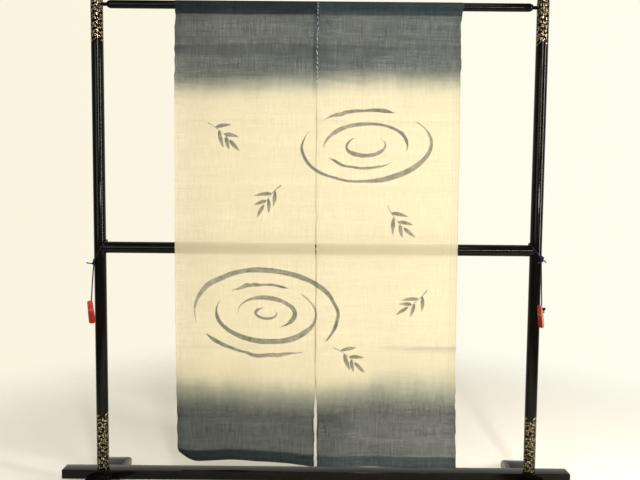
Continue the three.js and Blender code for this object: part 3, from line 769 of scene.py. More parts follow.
def make_rack():
    # posts, standing on the beam under the cap rail
    low, high = BEAM["top"] + 0.3, CAP["under"] - 0.3
    for side, sign in (("left", -1), ("right", 1)):
        rows = [(low, 0.5 * POST_R), *rounded_end(low, POST_R, 1.2, 1)]
        steps = 60
        rows += [(low + 1.2 + (high - low - 2.4) * i / steps, POST_R) for i in range(1, steps)]
        rows += rounded_end(high, POST_R, 1.2, -1)[::-1] + [(high, 0.5 * POST_R)]
        post = lathe("rack_post_" + side, rows, 64, "Z", GILDED)
        post.location.x = sign * POST_X * MM
        post.rotation_euler.z = -sign * math.radians(19.5)
        sharp_shade(post, 40)
        rack_piece(post, "post_" + side)

    # rails, their ends coped to the posts
    r, neck = TOP_RAIL["r"], TOP_RAIL["neck_r"]
    half = [
        (POST_X - POST_R * 0.70, neck), (TOP_RAIL["neck"] + 1.5, neck), (TOP_RAIL["neck"], neck + 1.6), (TOP_RAIL["neck"] - 0.2, r * 0.66),
        (TOP_RAIL["neck"] - 1.0, r * 0.74), (TOP_RAIL["shoulder"] + 1.5, r * 0.965), (TOP_RAIL["shoulder"] - 1.0, r),
    ]
    body = [(-x, rr) for x, rr in half]
    body += [(-TOP_RAIL["shoulder"] + 1 + (2 * TOP_RAIL["shoulder"] - 2) * i / 40, r) for i in range(1, 40)]
    body += half[::-1]
    rail = lathe("rack_top_rail", body, 48, "X", BLACK)
    rail.location.z = TOP_RAIL["z"] * MM
    rack_piece(rail, "top_rail")

    r = MID_RAIL["r"]
    verts, faces = [], []
    sides, steps = 64, 60
    for i in range(steps + 1):
        for k in range(sides):
            t = 2 * math.pi * k / sides
            y, z = r * math.cos(t), r * math.sin(t)
            reach = POST_X - math.sqrt((POST_R + 0.3) ** 2 - y * y)
            verts.append(Vector((-reach + 2 * reach * i / steps, y, z)) * MM)
    for i in range(steps):
        for k in range(sides):
            j = (k + 1) % sides
            faces.append((i * sides + k, i * sides + j, (i + 1) * sides + j, (i + 1) * sides + k))
    for i in (0, steps):  # saddle ends, as strips across
        for k in range(sides // 2):
            a, b = i * sides + k, i * sides + k + 1
            c, d = i * sides + (sides - k - 1) % sides, i * sides + (sides - k) % sides
            if k == 0:
                faces.append((a, b, c))
            elif k == sides // 2 - 1:
                faces.append((a, b, d))
            else:
                faces.append((a, b, c, d))
    mesh = mesh_from("rack_mid_rail", verts, faces)
    face_outward(mesh)
    rail = new_object("rack_mid_rail", mesh, BLACK)
    rail.location.z = MID_RAIL["z"] * MM
    sharp_shade(rail, 40)
    rack_piece(rail, "mid_rail")

    # cap rail with upturned ends
    under = eased([p[0] for p in CAP_PROFILE], [p[1] for p in CAP_PROFILE])
    top = eased([p[0] for p in CAP_PROFILE], [p[2] for p in CAP_PROFILE])
    xs = np.concatenate([np.linspace(0, 700, 15)[:-1], np.linspace(700, 875, 22)])
    xs = np.concatenate([-xs[:0:-1], xs])
    bm = bmesh.new()
    rings = []
    for x in xs:
        lo, hi = CAP["under"] + float(under(abs(x))), CAP["under"] + float(top(abs(x)))
        d = CAP["depth"] / 2
        rings.append([bm.verts.new(Vector((x, y, z)) * MM) for y, z in ((-d, lo), (d, lo), (d, hi), (-d, hi))])
    for a, b in zip(rings, rings[1:]):
        for i in range(4):
            j = (i + 1) % 4
            bm.faces.new((a[i], a[j], b[j], b[i]))
    bm.faces.new(rings[0])
    bm.faces.new(rings[-1][::-1])
    bmesh.ops.recalc_face_normals(bm, faces=bm.faces)
    bevel_edges(bm, 3.0, 4)
    mesh = bpy.data.meshes.new("rack_cap_rail")
    bm.to_mesh(mesh)
    bm.free()
    mesh.polygons.foreach_set("use_smooth", [True] * len(mesh.polygons))
    cap = new_object("rack_cap_rail", mesh, BLACK)
    rack_piece(cap, "cap_rail")

    # base beam and feet
    d = BEAM["depth"] / 2
    beam = prism("rack_base_beam", [(-d, BEAM["under"]), (d, BEAM["under"]), (d, BEAM["top"]), (-d, BEAM["top"])], 2 * BEAM["half"], "X", 2.0, BLACK)
    rack_piece(beam, "base_beam")
    notch, floor = BEAM["depth"] / 2 + 0.3, BEAM["under"] - 0.3
    for side, sign in (("left", -1), ("right", 1)):
        swell = []
        for i in range(13):
            q = i / 12
            swell.append((FOOT["flat"] + (FOOT["half"] - FOOT["flat"]) * q, FOOT["top"] + (FOOT["tip"] - FOOT["top"]) * q * q))
        outline = [(-FOOT["half"], 0), (FOOT["half"], 0), *swell[::-1], (notch, FOOT["top"]), (notch, floor), (-notch, floor), (-notch, FOOT["top"])]
        outline += [(-a, b) for a, b in swell]
        foot = prism("rack_foot_" + side, outline, FOOT["width"], "X", 2.2, BLACK, 0.35)
        foot.location.x = sign * POST_X * MM
        rack_piece(foot, "foot_" + side)


make_rack()

# ------------------------------------------------------------------ cloth
EDGE = {key: eased(OUTLINE["z"], OUTLINE[key]) for key in OUTLINE if key != "z"}
HANG = eased(DRAPE["z"], DRAPE["y"])
LOWEST = {s: eased(HEM[s]["at"], HEM[s]["z"]) for s in HEM}
BACK = {s: eased(HEM[s]["at"], HEM[s]["back"]) for s in HEM}
RIPPLE, SCALLOP, PUCKER, SOAK, STREAK = Noise(11), Noise(12), Noise(13), Noise(14), Noise(15)


SEAM_HOLES = ((807.5, 2.7, 6.2), (791.5, 2.6, 4.2), (780.8, 2.3, 3.2))  # where the rail spreads the lacing: height, half width and half length


def seam_sway(z):
    """How far the laced seam strays from its even line, in millimetres."""
    return 0.9 * SCALLOP(z / 47.0, 20) + 2.4 * np.exp(-(((z - 905) / 16.0) ** 2))


def cloth_point(side, across, z):
    """Where the cloth is, at a place across its panel and a height: arrays of x, y and z."""
    outer, inner = EDGE[side + "_outer"](z), EDGE[side + "_inner"](z)
    # laced together, then lying edge to edge, the panels part only near the foot
    middle = (EDGE["left_inner"](z) + EDGE["right_inner"](z)) / 2
    apart = smooth((385 - z) / 120.0)
    lap = 0.35 - sum(wide * np.exp(-(((z - at) / tall) ** 4)) for at, wide, tall in SEAM_HOLES)
    inner = inner * apart + (middle + (lap if side == "left" else -lap)) * (1 - apart)
    seed = 0 if side == "left" else 50
    dyed = smooth((z - 1240) / 120) + smooth((420 - z) / 120)
    outer = outer + (0.6 + 0.9 * dyed) * (SCALLOP(z / 17.0, seed) + 0.6 * SCALLOP(z / 43.0, seed + 7))
    inner = inner + seam_sway(z) + apart * (1.2 * SCALLOP(z / 12.0, seed + 20) + 1.0 * SCALLOP(z / 37.0, seed + 23))
    start, stop = (outer, inner) if side == "left" else (inner, outer)
    x = start + (stop - start) * across
    y = HANG(z)
    if side == "right":
        y = y + 1.3 * (1 - apart) * np.exp(-(((x - start) / 9.0) ** 2)) * smooth((SEAM_Z + 6 - z) / 12.0)
    low_share = smooth((MID_RAIL["z"] - 40 - z) / (MID_RAIL["z"] - 120))
    for at, width, pocket, rail, hem in FOLDS[side]:
        above = rail + (pocket - rail) * (z - MID_RAIL["z"]) / (SEAM_Z - MID_RAIL["z"])
        below = rail + (hem - rail) * low_share
        y = y + np.where(z > MID_RAIL["z"], above, below) * np.exp(-(((across - at) / width) ** 2))
    for crease in CREASES:  # the cloth leans out above each crease and falls back across it
        mid = crease["z"] + 2.2 * RIPPLE(x / 38.0, crease["z"] * 0.37 + seed) + 3.4 * RIPPLE(x / 120.0, crease["z"] * 0.53 + seed)
        size = 1.25 * crease[side] * (0.8 + 0.4 * RIPPLE(x / 70.0, crease["z"] * 0.71 + seed))
        if side == "right" and crease["z"] < 600:
            size = size * (0.25 + 0.75 * smooth((x - 170) / 90.0)) * 1.15
        above = z - mid
        lean = smooth((above + 9.0) / 18.0) * np.exp(-np.maximum(0, above - 9.0) / 60.0)
        y = y - size * lean
    lowest = LOWEST[side](across)
    y = y + BACK[side](across) * smooth((SWING_FROM - z) / (SWING_FROM - lowest)) ** 1.3
    # small unevenness of hand-hung cloth
    free = smooth((SEAM_Z - 10 - z) / 200)
    y = y - free * (0.55 + 0.55 * RIPPLE(x / 95.0 + 3, z / 240.0 + seed) + 0.35 * RIPPLE(x / 41.0 + 9, z / 150.0 + seed))
    # puckers below the pocket's stitching and above the hem's
    near = np.exp(-np.maximum(0, SEAM_Z - z) / 26.0) * (z <= SEAM_Z + 1)
    y = y + 0.55 * near * PUCKER(x / 6.5, 3.0 + seed)
    hem_near = np.exp(-np.abs(z - lowest - HEM_HEIGHT) / 16.0)
    y = y + 0.45 * hem_near * PUCKER(x / 7.5, 9.0 + seed)
    if side == "left":
        flap = 27.0 * np.maximum(0, 1 - (x - start) / 74.0 - (z - lowest) / 44.0) ** 1.75
        y = y + flap * 0.95
        z = z + flap * 0.34
        x = x + flap * 0.25
    return x, y, z


ROLLED = 4.6  # turned-under inner edge at its widest
LAYER = 0.9  # between the layers of a hem


def columns_of(side, count):
    """Across the cut width: the face from its selvedge, then the rolled inner edge. Rows are (fraction across the face, millimetres turned under, layer)."""
    face = [(q, 0.0, 0.0) for q in np.linspace(0.0, 0.9992, count - 5)]
    cols = face + [(1.0004, 0.0, 0.5)] + [(1.0, d, 1.0) for d in (0.08, 0.36, 0.68, 1.0)]
    if side == "right":
        cols = [(1 - q, d, layer) for q, d, layer in cols[::-1]]
    return np.array(cols)


def panel_grid(side, across_count=172, down_count=548):
    cols = columns_of(side, across_count)
    flat, under, turned = cols[:, 0][None, :], cols[:, 1][None, :], cols[:, 2][None, :]
    inward = -1 if side == "left" else 1
    across = flat
    lowest = LOWEST[side](np.clip(across, 0, 1))
    rows = []

    def tucked(z):
        """Fractions across, with the inner edge turned under more or less along its length."""
        deep = ROLLED * np.clip(0.62 + 0.55 * SCALLOP(z / 70.0, 61.0), 0.25, 1.0)
        return flat + inward * under * deep / 450.0

    def add(z, layer, out=0.0):
        z = np.broadcast_to(z, across.shape)
        x, y, zz = cloth_point(side, tucked(z), z)
        rows.append((x, y + LAYER * turned * (1 - 2 * layer) + 2.1 * layer + out, zz))

    hem_rows = 13
    for e in np.linspace(HEM_HEIGHT, 0.6, hem_rows):
        add(lowest + e, 1.0)
    add(lowest - 0.35, 0.5)
    face_rows = down_count - hem_rows - 1 - 30
    for q in np.linspace(0.0003, 1, face_rows):
        add(lowest + (SEAM_Z - lowest) * q, 0.0)
    # the pocket: up the front, over the rod, down the back to the stitching
    radius = TOP_RAIL["r"] + 0.85
    x, y, _ = cloth_point(side, across, np.full_like(across, SEAM_Z))
    path = []
    for a in np.radians(np.linspace(-20, 220, 21)):
        path.append((-radius * np.cos(a), TOP_RAIL["z"] + radius * np.sin(a)))
    front_foot = [(None, SEAM_Z + 22.5 * q, q) for q in (0.25, 0.5, 0.75)]
    seed = 0 if side == "left" else 50
    for _, z, q in front_foot:
        xx, _, _ = cloth_point(side, tucked(np.full_like(across, z)), np.full_like(across, z))
        yy = y + (path[0][0] - y) * q + 0.25 * PUCKER(xx / 7.0, 3.0 + seed) * (1 - q)
        rows.append((xx, yy + LAYER * turned, np.full_like(across, z)))
    for yy, z in path:
        xx, _, _ = cloth_point(side, tucked(np.full_like(across, z)), np.full_like(across, z))
        inside = LAYER * turned * np.sign(-yy) * 0.3
        rows.append((xx, np.full_like(across, yy) + inside, np.full_like(across, z) - 0.25 * turned))
    last_y, last_z = path[-1]
    for q in (0.34, 0.67, 1.0):
        z = last_z + (SEAM_Z + 0.5 - last_z) * q
        xx, _, _ = cloth_point(side, tucked(np.full_like(across, z)), np.full_like(across, z))
        yy = last_y + (y + 1.7 - last_y) * q
        rows.append((xx, yy - LAYER * turned * 0.5, np.full_like(across, z)))
    for z in (SEAM_Z - 0.8, SEAM_Z - 1.6, SEAM_Z - 2.4):
        xx, yy, _ = cloth_point(side, tucked(np.full_like(across, z)), np.full_like(across, z))
        rows.append((xx, yy + 1.9 - LAYER * turned * 0.3, np.full_like(across, z)))
    grid = np.stack([np.stack([np.broadcast_to(c, (1, across.shape[1]))[0] for c in row], axis=-1) for row in rows])
    return grid, cols


# ------------------------------------------------------------------ the dyed ground and the brushed pattern
TOP_FADE = eased((-460, -400, -200, -40, 380, 460), (1297, 1300, 1308, 1326, 1333, 1335))
LOW_FADE = eased((-460, -380, -200, -40, 60, 240, 380, 460), (340, 339, 328, 324, 333, 343, 346, 347))
BAND_FOOT = eased((-460, -200, -20, 60, 200, 300, 460), (1416, 1408, 1394, 1386, 1406, 1430, 1436))


def dye_at(x, z):
    uneven = 6.0 * SOAK(x / 46.0, 1.5) + 8.0 * SOAK(x / 160.0, 4.5) + 4.0 * SOAK(x / 14.0, z / 60.0) + 3.0 * SOAK(x / 70.0, z / 7.0 + 31)
    trail = 0.12 + 0.07 * smooth((x - 120) / 200.0)
    up = z + uneven - TOP_FADE(x)
    top = (1 - trail) * smooth((up + 50) / 104.0) + trail * smooth((up + 150) / 200.0)
    down = LOW_FADE(x) - (z + 1.1 * uneven)  # the dark side of the lower fade is the longer one
    down = np.where(down > 0, down / 1.4, down / (1 + 0.4 * smooth((x - 150) / 150.0)))
    low = (1 - trail) * smooth((down + 62) / 124.0) + trail * smooth((down + 170) / 230.0)
    return np.clip(np.maximum(top, low), 0, 1)


def openness_and_painted_light_at(side, x, z):
    """How open the weave is, 1 on the whole: darker where a second dip of dye lies over the first, closer along the
    selvedges; the left panel's pocket and lower part are made closer as painted shade, and the right panel more open as
    painted light, for light falling from the right.
    """
    uneven = 5.0 * SOAK(x / 60.0, 21.5) + 2.0 * SOAK(x / 17.0, 25.5)
    band = smooth((1448 + uneven - z) / 8.0) * smooth((z - BAND_FOOT(x) + 12 + uneven) / 24.0)
    second = smooth((z - 1528) / 8.0)
    edge = (x - EDGE["left_outer"](z)) if side == "left" else (EDGE["right_outer"](z) - x)
    seam = np.abs(x - (EDGE["left_inner"](z) + EDGE["right_inner"](z)) / 2 - seam_sway(z))
    foot = smooth((400 - z) / 90.0)
    sheer = 1.03 - (0.32 if side == "left" else 0.25) * band - 0.13 * smooth((z - 1500) / 30.0) - 0.08 * smooth((20 - edge) / 6.0)
    for at, wide, deep in ((0.0, 2.2, 0.55), (8.5, 1.6, 0.16), (14.5, 1.8, 0.22), (21.0, 1.6, 0.12)):  # closer warp of the selvedge
        sheer = sheer - deep * np.exp(-(((edge - at) / wide) ** 2))
    if side == "left":
        sheer = sheer - 0.09 * smooth((170 - edge) / 130.0) * smooth((z - 1440) / 20.0) + 0.09 * smooth((BAND_FOOT(x) - z) / 20.0) * smooth((z - 1320) / 40.0)
        # the closer left pocket, from the second term, is painted shade away from the light on the right
        sheer = sheer - 0.12 * second + 0.70 * np.exp(-edge / 24.0) * smooth((1435 - z) / 60.0) * smooth((z - 390) / 80.0)
        # the closer lower part of the left panel, most at its outer side, is painted shade
        sheer = sheer - 0.42 * smooth((15.0 - seam) / 3.0) * smooth((z - 1255) / 40.0) - foot * (0.10 + 0.14 * smooth((260 - edge) / 200.0))
    else:
        # the right panel is made more open overall and at its foot as painted light from the right
        sheer = sheer + 0.12 - 0.30 * np.exp(-((seam / 40.0) ** 2)) * smooth((z - 1330) / 60.0)
        sheer = sheer + foot * (0.25 - 0.46 * smooth((170 - seam) / 150.0) - 0.22 * np.exp(-(((z - 243) / 24.0) ** 2)) * smooth((150 - seam) / 120.0))
    return np.clip(sheer, 0.1, 2.2)


def painted_light_and_threads_at(side, x, z):
    """Painted light and shade, as darkening up to 1 or so and lightening below 0: painted shade in soft bands along the
    old fold lines that break off and start again across the cloth, a painted shadow of the middle rail, a darker line
    at the rolled edges at the seam, painted highlights along the hem's folds, painted shade on the left towards its
    outer side and hem, painted light on the right pocket and hem; and the right selvedge's closer threads.
    """
    seed = 0 if side == "left" else 50
    shown = np.zeros_like(x)
    # painted shade along each old fold line
    for crease in CREASES:
        mid = crease["z"] + 2.2 * RIPPLE(x / 38.0, crease["z"] * 0.37 + seed) + 3.4 * RIPPLE(x / 120.0, crease["z"] * 0.53 + seed)
        above = z - mid
        line = np.exp(-np.maximum(0, above) ** 2 / 50.0 - np.minimum(0, above) ** 2 / 190.0)
        part = crease[side] / 3.2 * np.clip(0.75 + 0.5 * RIPPLE(x / 85.0, crease["z"] * 0.91 + seed), 0.1, 1.2)
        if side == "right" and crease["z"] < 600:
            part = part * (0.12 + 0.88 * smooth((x - 190) / 70.0))
        else:
            part = part * 0.45
        shown = np.maximum(shown, part * line)
    # the rolled seam edges: darker as a double layer, and more so as a painted shadow in the gap
    seam = x - (EDGE["left_inner"](z) + EDGE["right_inner"](z)) / 2 - seam_sway(z)
    rolled = 2.3 * np.exp(-(((seam + 0.3) / 1.5) ** 2)) * np.clip(0.85 + 0.5 * SCALLOP(z / 26.0, 71.0), 0.3, 1.2) * (0.5 + 0.5 * smooth((965 - z) / 60.0))
    shown = np.clip(shown, 0, 1) + 0.32 * np.exp(-(((z - 796.8) / 17.0) ** 4))  # painted shadow of the middle rail behind the cloth
    shown = shown + rolled * smooth((1290 - z) / 60.0) * smooth((z - 330) / 50.0)
    first, last = (EDGE["left_outer"](100.0), EDGE["left_inner"](100.0)) if side == "left" else (EDGE["right_inner"](100.0), EDGE["right_outer"](100.0))
    up = z - LOWEST[side](np.clip((x - first) / (last - first), 0, 1))
    turned = np.exp(-(((up - 18.0) / 2.2) ** 2)) + 0.7 * np.exp(-((up / 2.0) ** 2))  # painted highlights along the hem's turned edge and its lower fold
    shown = shown - (1.7 if side == "right" else 1.1) * turned * np.clip(0.8 + 0.6 * RIPPLE(x / 60.0, 8.3 + seed), 0.2, 1.4)
    if side == "left":  # painted shade: darker towards its outer side, and in its hem, away from the light on the right
        shown = shown + smooth((-290 - x) / 90.0) * (0.25 + 0.9 * smooth((z - 1330) / 60.0)) + 0.9 * smooth((124 - z) / 6.0)
    if side == "right":  # three closer threads of its selvedge, and a paler pocket and hem as painted light from the right
        edge = EDGE["right_outer"](z) - x
        for at, deep in ((3.0, 0.7), (10.0, 0.45), (22.0, 0.6)):
            shown = shown + deep * np.exp(-(((edge - at) / 1.7) ** 2))
        shown = shown - 3.2 * smooth((z - 1536) / 6.0) - 2.8 * smooth((124 - z) / 6.0)
    return shown


def brush(points, widths, load=0.8):
    return {"line": np.asarray(points, float), "half": np.asarray(widths, float), "load": load}


def ring_stroke(cx, cz, rx, rz, start, span, thick, seed, load=0.8, tilt=0.0):
    """A broken ripple ring: one arc of a brush that swells and thins."""
    n = Noise(seed)
    t = np.linspace(0, 1, 64)
    a = np.radians(start + span * t)
    wob = 1 + 0.018 * n(t * 7.0, 1.0) + 0.010 * n(t * 17.0, 2.0)
    x, z = rx * wob * np.cos(a), rz * wob * np.sin(a)
    c, s = math.cos(tilt), math.sin(tilt)
    taper = smooth(t / 0.16) * smooth((1 - t) / 0.30)
    half = thick / 2 * (0.22 + 0.78 * taper) * (0.80 + 0.35 * n(t * 5.0, 3.0) + 0.10 * n(t * 21.0, 4.0))
    half = np.where((t < 0.012) | (t > 0.985), 0.4, half)
    return brush(np.stack([cx + c * x - s * z, cz + s * x + c * z], -1), half, load)


def leaf_stroke(x, z, angle, length, thick, bend, seed, load=0.85):
    n = Noise(seed)
    t = np.linspace(0, 1, 20)
    a = math.radians(angle) + bend * (t - 0.3)
    step = length / 19
    px = x + np.concatenate([[0], np.cumsum(np.cos(a[:-1]) * step)])
    pz = z + np.concatenate([[0], np.cumsum(np.sin(a[:-1]) * step)])
    half = thick / 2 * np.sin(np.pi * np.clip(t, 0, 1) ** 0.72) ** 0.85 * (1 + 0.10 * n(t * 5, 1.0))
    return brush(np.stack([px, pz], -1), np.maximum(half, 0.25), load)


def twig(x, z, lean, bend, size, seed):
    """A thin bent stem with narrow leaves to either side and one at its tip."""
    t = np.linspace(0, 1, 18)
    a = math.radians(lean) + bend * t
    step = 84.0 * size / 17
    px = x + np.concatenate([[0], np.cumsum(np.cos(a[:-1]) * step)])
    pz = z + np.concatenate([[0], np.cumsum(np.sin(a[:-1]) * step)])
    strokes = [brush(np.stack([px, pz], -1), 1.7 - 0.6 * t + 0.2 * Noise(seed)(t * 6, 2.0), 0.82)]
    for i, (at, hand, open_by, length) in enumerate(((0.30, 1, 44, 54), (0.50, -1, 40, 60), (0.72, 1, 36, 50), (0.84, -1, 34, 44), (1.0, 0, 0, 50))):
        k = int(round(at * 17))
        angle = math.degrees(a[k]) + hand * (open_by + 5 * Noise(seed)(i * 1.7, 5.0))
        off = 2.5 * size
        sx, sz = px[k] + off * math.cos(math.radians(angle)), pz[k] + off * math.sin(math.radians(angle))
        strokes.append(leaf_stroke(sx, sz, float(angle), length * size, 12.5 * size, 0.25 * (-hand if hand else 0.6), seed * 10 + i))
    return strokes


def pattern():
    """Plain ripple rings and scattered leafy twigs, a general pattern of brushed grey."""
    strokes = []
    for cx, cz, tilt, arcs in (
        (150, 1128, 0.05, ((205, 112, 150, 250, 16, 21), (205, 112, 62, 70, 13, 22), (132, 70, -20, 205, 15, 23), (132, 70, 205, 105, 12, 24), (62, 31, 120, 290, 12, 25))),
        (-165, 590, -0.06, ((232, 138, -35, 235, 18, 31), (232, 138, 215, 88, 14, 32), (160, 92, 160, 250, 17, 33), (160, 92, 65, 70, 13, 34), (92, 50, -60, 250, 14, 35), (34, 17, 100, 300, 11, 36))),
    ):
        for rx, rz, start, span, thick, seed in arcs:
            strokes.append(ring_stroke(cx, cz, rx, rz, start, span, thick, seed, 0.86, tilt))
    for x, z, lean, bend, size, seed in (
        (-352, 1196, -28, -0.35, 1.0, 41),
        (-120, 1000, -142, 0.40, 0.95, 42),
        (222, 938, -66, 0.45, 1.0, 43),
        (352, 668, -128, -0.35, 0.95, 44),
        (52, 480, -24, -0.40, 1.0, 45),
    ):
        strokes += twig(x, z, lean, bend, size, seed)
    return strokes


STROKES = pattern()


def ink_at(x, z):
    """Distance to the nearest brush stroke's edge, in millimetres and negative inside, and how much ink it left there."""
    x, z = x.ravel(), z.ravel()
    best, load = np.full(x.shape, 30.0), np.zeros(x.shape)
    for s in STROKES:
        line, half = s["line"], s["half"]
        pad = half.max() + 12
        near = np.nonzero((x > line[:, 0].min() - pad) & (x < line[:, 0].max() + pad) & (z > line[:, 1].min() - pad) & (z < line[:, 1].max() + pad))[0]
        if not len(near):
            continue
        px, pz = x[near], z[near]
        d_best, l_best = np.full(px.shape, 30.0), np.zeros(px.shape)
        for (ax, az), (bx, bz), ha, hb, i in zip(line, line[1:], half, half[1:], range(len(line))):
            vx, vz = bx - ax, bz - az
            q = np.clip(((px - ax) * vx + (pz - az) * vz) / (vx * vx + vz * vz), 0, 1)
            d = np.hypot(px - ax - q * vx, pz - az - q * vz) - (ha + (hb - ha) * q)
            closer = d < d_best
            d_best = np.where(closer, d, d_best)
            run = (i + q) / (len(line) - 1)
            l_best = np.where(closer, s["load"] * (1.02 - 0.30 * run), l_best)
        closer = d_best < best[near]
        best[near] = np.where(closer, d_best, best[near])
        load[near] = np.where(closer, l_best, load[near])
    return best, load


def make_panel(side):
    grid, cols = panel_grid(side)
    rows, count = grid.shape[:2]
    verts = grid.reshape(-1, 3)
    i = np.arange(rows - 1)[:, None] * count + np.arange(count - 1)[None, :]
    quads = np.stack([i, i + 1, i + count + 1, i + count], -1).reshape(-1, 4)
    mesh = bpy.data.meshes.new("cloth_" + side)
    mesh.vertices.add(len(verts))
    mesh.vertices.foreach_set("co", (verts * MM).astype(np.float32).ravel())
    mesh.loops.add(quads.size)
    mesh.loops.foreach_set("vertex_index", quads.astype(np.int32).ravel())
    mesh.polygons.add(len(quads))
    mesh.polygons.foreach_set("loop_start", (np.arange(len(quads)) * 4).astype(np.int32))
    mesh.polygons.foreach_set("use_smooth", np.ones(len(quads), bool))
    mesh.update(calc_edges=True)
    x, z = verts[:, 0], verts[:, 2]
    ink, load = ink_at(x, z)
    for name, values in (("dye", dye_at(x, z)), ("sheer", openness_and_painted_light_at(side, x, z)), ("painted_light_and_threads", painted_light_and_threads_at(side, x, z)), ("ink", ink), ("ink_load", load)):
        mesh.attributes.new(name, "FLOAT", "POINT").data.foreach_set("value", values.astype(np.float32))
    ob = new_object("cloth_" + side, mesh, HEMP)
    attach(ob, "root")
    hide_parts("noren_" + side)
    return ob


CLOTH = {side: make_panel(side) for side in ("left", "right")}


# ------------------------------------------------------------------ stitches
def surface_y(side, across, z):
    x, y, zz = cloth_point(side, np.array([float(across)]), np.array([float(z)]))
    return float(x[0]), float(y[0]), float(zz[0])


def stitch(heap, a, b, lift, radius):
    """One stitch: a short thread that rises out of the cloth and dips back into it."""
    a, b = Vector(a), Vector(b)
    mid = (a + b) / 2 + Vector((0, -lift, 0))
    points = [a, a * 0.72 + b * 0.28 + Vector((0, -0.85 * lift, 0)), mid, a * 0.28 + b * 0.72 + Vector((0, -0.85 * lift, 0)), b]
    heap.add(*tube([p * MM for p in points], radius * MM, 6))


def make_stitches():
    rng = np.random.RandomState(5)
    made = []
    # lacing that joins the two panels down the middle, from edge to edge
    heap = Heap()
    z, way = 1534.0, 1
    while z > STITCHED_DOWN_TO:
        drop = rng.uniform(7.0, 15.0)
        a = surface_y("left", 1 - rng.uniform(1.0, 2.6) / 450, z)
        b = surface_y("right", rng.uniform(1.0, 2.6) / 450, z - drop)
        if rng.rand() < 0.4:
            a, b = (b[0], b[1], a[2]), (a[0], a[1], b[2])
        front = min(a[1], b[1])
        thick = 0.42 + 0.50 * float(smooth((z - 1270) / 120.0)) * rng.uniform(0.4, 1.3)
        stitch(heap, (a[0], front + 0.5, a[2]), (b[0], front + 0.5, b[2]), 1.5, thick)
        z -= drop + rng.uniform(2.0, 9.0)

    def pocket_y(z):
        if z > TOP_RAIL["z"] - 8:
            return -math.sqrt(max(0.0, (TOP_RAIL["r"] + 1.4) ** 2 - min(13.9, z - TOP_RAIL["z"]) ** 2))
        return -9.9 - 0.2 * (z - 1546)

    for z in np.linspace(1544, 1574, 4):  # over the pockets
        stitch(heap, (-7.0, pocket_y(z) + 0.1, z), (-4.9, pocket_y(z - 6.2) + 0.1, z - 6.2), 1.0, 0.8)
    made.append(heap.piece("seam_lacing", PALE_THREAD))
    # running stitches of the pocket and the hems
    for side in ("left", "right"):
        heap = Heap()

        def level(z_of, step, length):
            at = 8.0
            while at < 442:
                l = length * rng.uniform(0.85, 1.1)
                a = surface_y(side, at / 450, z_of(at / 450))
                b = surface_y(side, (at + l) / 450, z_of((at + l) / 450))
                stitch(heap, (a[0], a[1] + 0.3, a[2]), (b[0], b[1] + 0.3, b[2]), 0.55, 0.34)
                at += step * rng.uniform(0.95, 1.05)

        level(lambda q: SEAM_Z - 1.5, 5.6, 3.6)
        level(lambda q: float(LOWEST[side](q)) + HEM_HEIGHT - 2.5, 6.4, 3.4)
        made.append(heap.piece("hem_stitches_" + side, SLATE_THREAD))
    for ob in made:
        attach(ob, "root")
    return made


STITCHES = make_stitches()


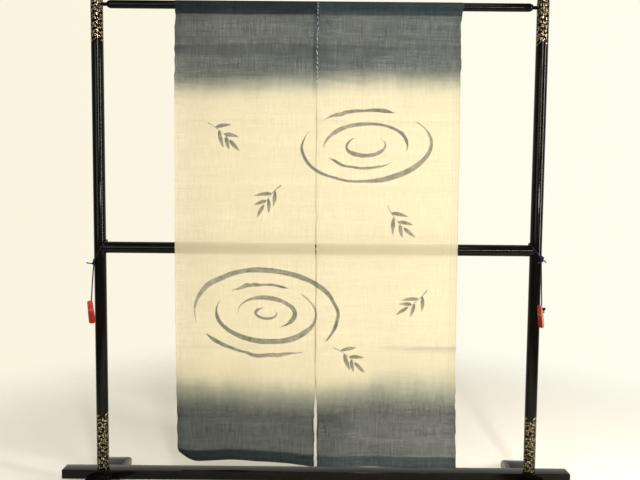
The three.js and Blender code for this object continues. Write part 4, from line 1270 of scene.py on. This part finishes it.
# ------------------------------------------------------------------ floor, background and light
def make_stage():
    bm = bmesh.new()
    bmesh.ops.create_circle(bm, cap_ends=True, radius=2.6, segments=96)
    mesh = bpy.data.meshes.new("floor")
    bm.to_mesh(mesh)
    bm.free()
    floor = new_object("floor", mesh, floor_material())
    floor.location.z = -0.0005

    world = bpy.data.worlds.new("studio")
    bpy.context.scene.world = world
    world.use_nodes = True
    tree = world.node_tree
    tree.nodes.clear()
    out = tree.nodes.new("ShaderNodeOutputWorld")
    ray = tree.nodes.new("ShaderNodeTexCoord")
    way = tree.nodes.new("ShaderNodeSeparateXYZ")
    tree.links.new(ray.outputs["Generated"], way.inputs["Vector"])

    def spread(axis, low, high, to_low, to_high):
        n = tree.nodes.new("ShaderNodeMapRange")
        n.interpolation_type = "SMOOTHSTEP"
        tree.links.new(way.outputs[axis], n.inputs["Value"])
        for key, value in (("From Min", low), ("From Max", high), ("To Min", to_low), ("To Max", to_high)):
            n.inputs[key].default_value = value
        return n.outputs["Result"]

    # the background seen directly: lighter and cooler to the right, a painted light gradient
    seen = tree.nodes.new("ShaderNodeBackground")
    tint = tree.nodes.new("ShaderNodeMix")
    tint.data_type = "RGBA"
    tree.links.new(spread("X", -0.45, 0.45, 0.0, 1.0), tint.inputs["Factor"])
    tint.inputs["A"].default_value = (0.962, 0.912, 0.745, 1)
    tint.inputs["B"].default_value = (0.992, 0.985, 0.865, 1)
    tree.links.new(tint.outputs["Result"], seen.inputs["Color"])
    seen.inputs["Strength"].default_value = 1.0
    lit = tree.nodes.new("ShaderNodeBackground")  # a bright wall behind, a dim room in front
    lit.inputs["Color"].default_value = (1.0, 0.965, 0.89, 1)
    tree.links.new(spread("Y", -0.25, 0.45, 0.15, 0.88), lit.inputs["Strength"])
    path = tree.nodes.new("ShaderNodeLightPath")
    both = tree.nodes.new("ShaderNodeMixShader")
    tree.links.new(path.outputs["Is Camera Ray"], both.inputs["Fac"])
    tree.links.new(lit.outputs[0], both.inputs[1])
    tree.links.new(seen.outputs[0], both.inputs[2])
    tree.links.new(both.outputs[0], out.inputs["Surface"])

    def lamp(name, place, aim, size, watts, colour=(1, 0.97, 0.92)):
        data = bpy.data.lights.new(name, "AREA")
        data.shape = "RECTANGLE"
        data.size, data.size_y = size
        data.energy = watts
        data.color = colour
        ob = bpy.data.objects.new(name, data)
        bpy.context.scene.collection.objects.link(ob)
        ob.location = place
        ob.rotation_mode = "QUATERNION"
        ob.rotation_quaternion = (Vector(aim) - Vector(place)).to_track_quat("-Z", "Y")

    lamp("key", (0.6, -3.0, 1.95), (0.1, 0, 0.85), (0.32, 1.25), 37)
    lamp("upper", (0.6, -3.0, 2.3), (0.1, 0, 1.2), (0.10, 0.55), 9)
    lamp("side", (2.6, -1.3, 1.3), (0, 0, 0.85), (0.25, 1.6), 62)
    lamp("fill", (-1.8, -3.2, 1.4), (0, 0, 0.8), (1.6, 1.6), 26)
    lamp("low", (1.23, -2.3, 0.98), (0.55, 0, 0.8), (0.56, 0.13), 12)
    lamp("above", (0.1, -1.7, 3.2), (0, 0, 0.7), (2.2, 1.0), 32)

    view = bpy.context.scene.view_settings
    view.view_transform = "Standard"
    view.look = "None"
    view.exposure = 0.0
    view.gamma = 1.0


make_stage()
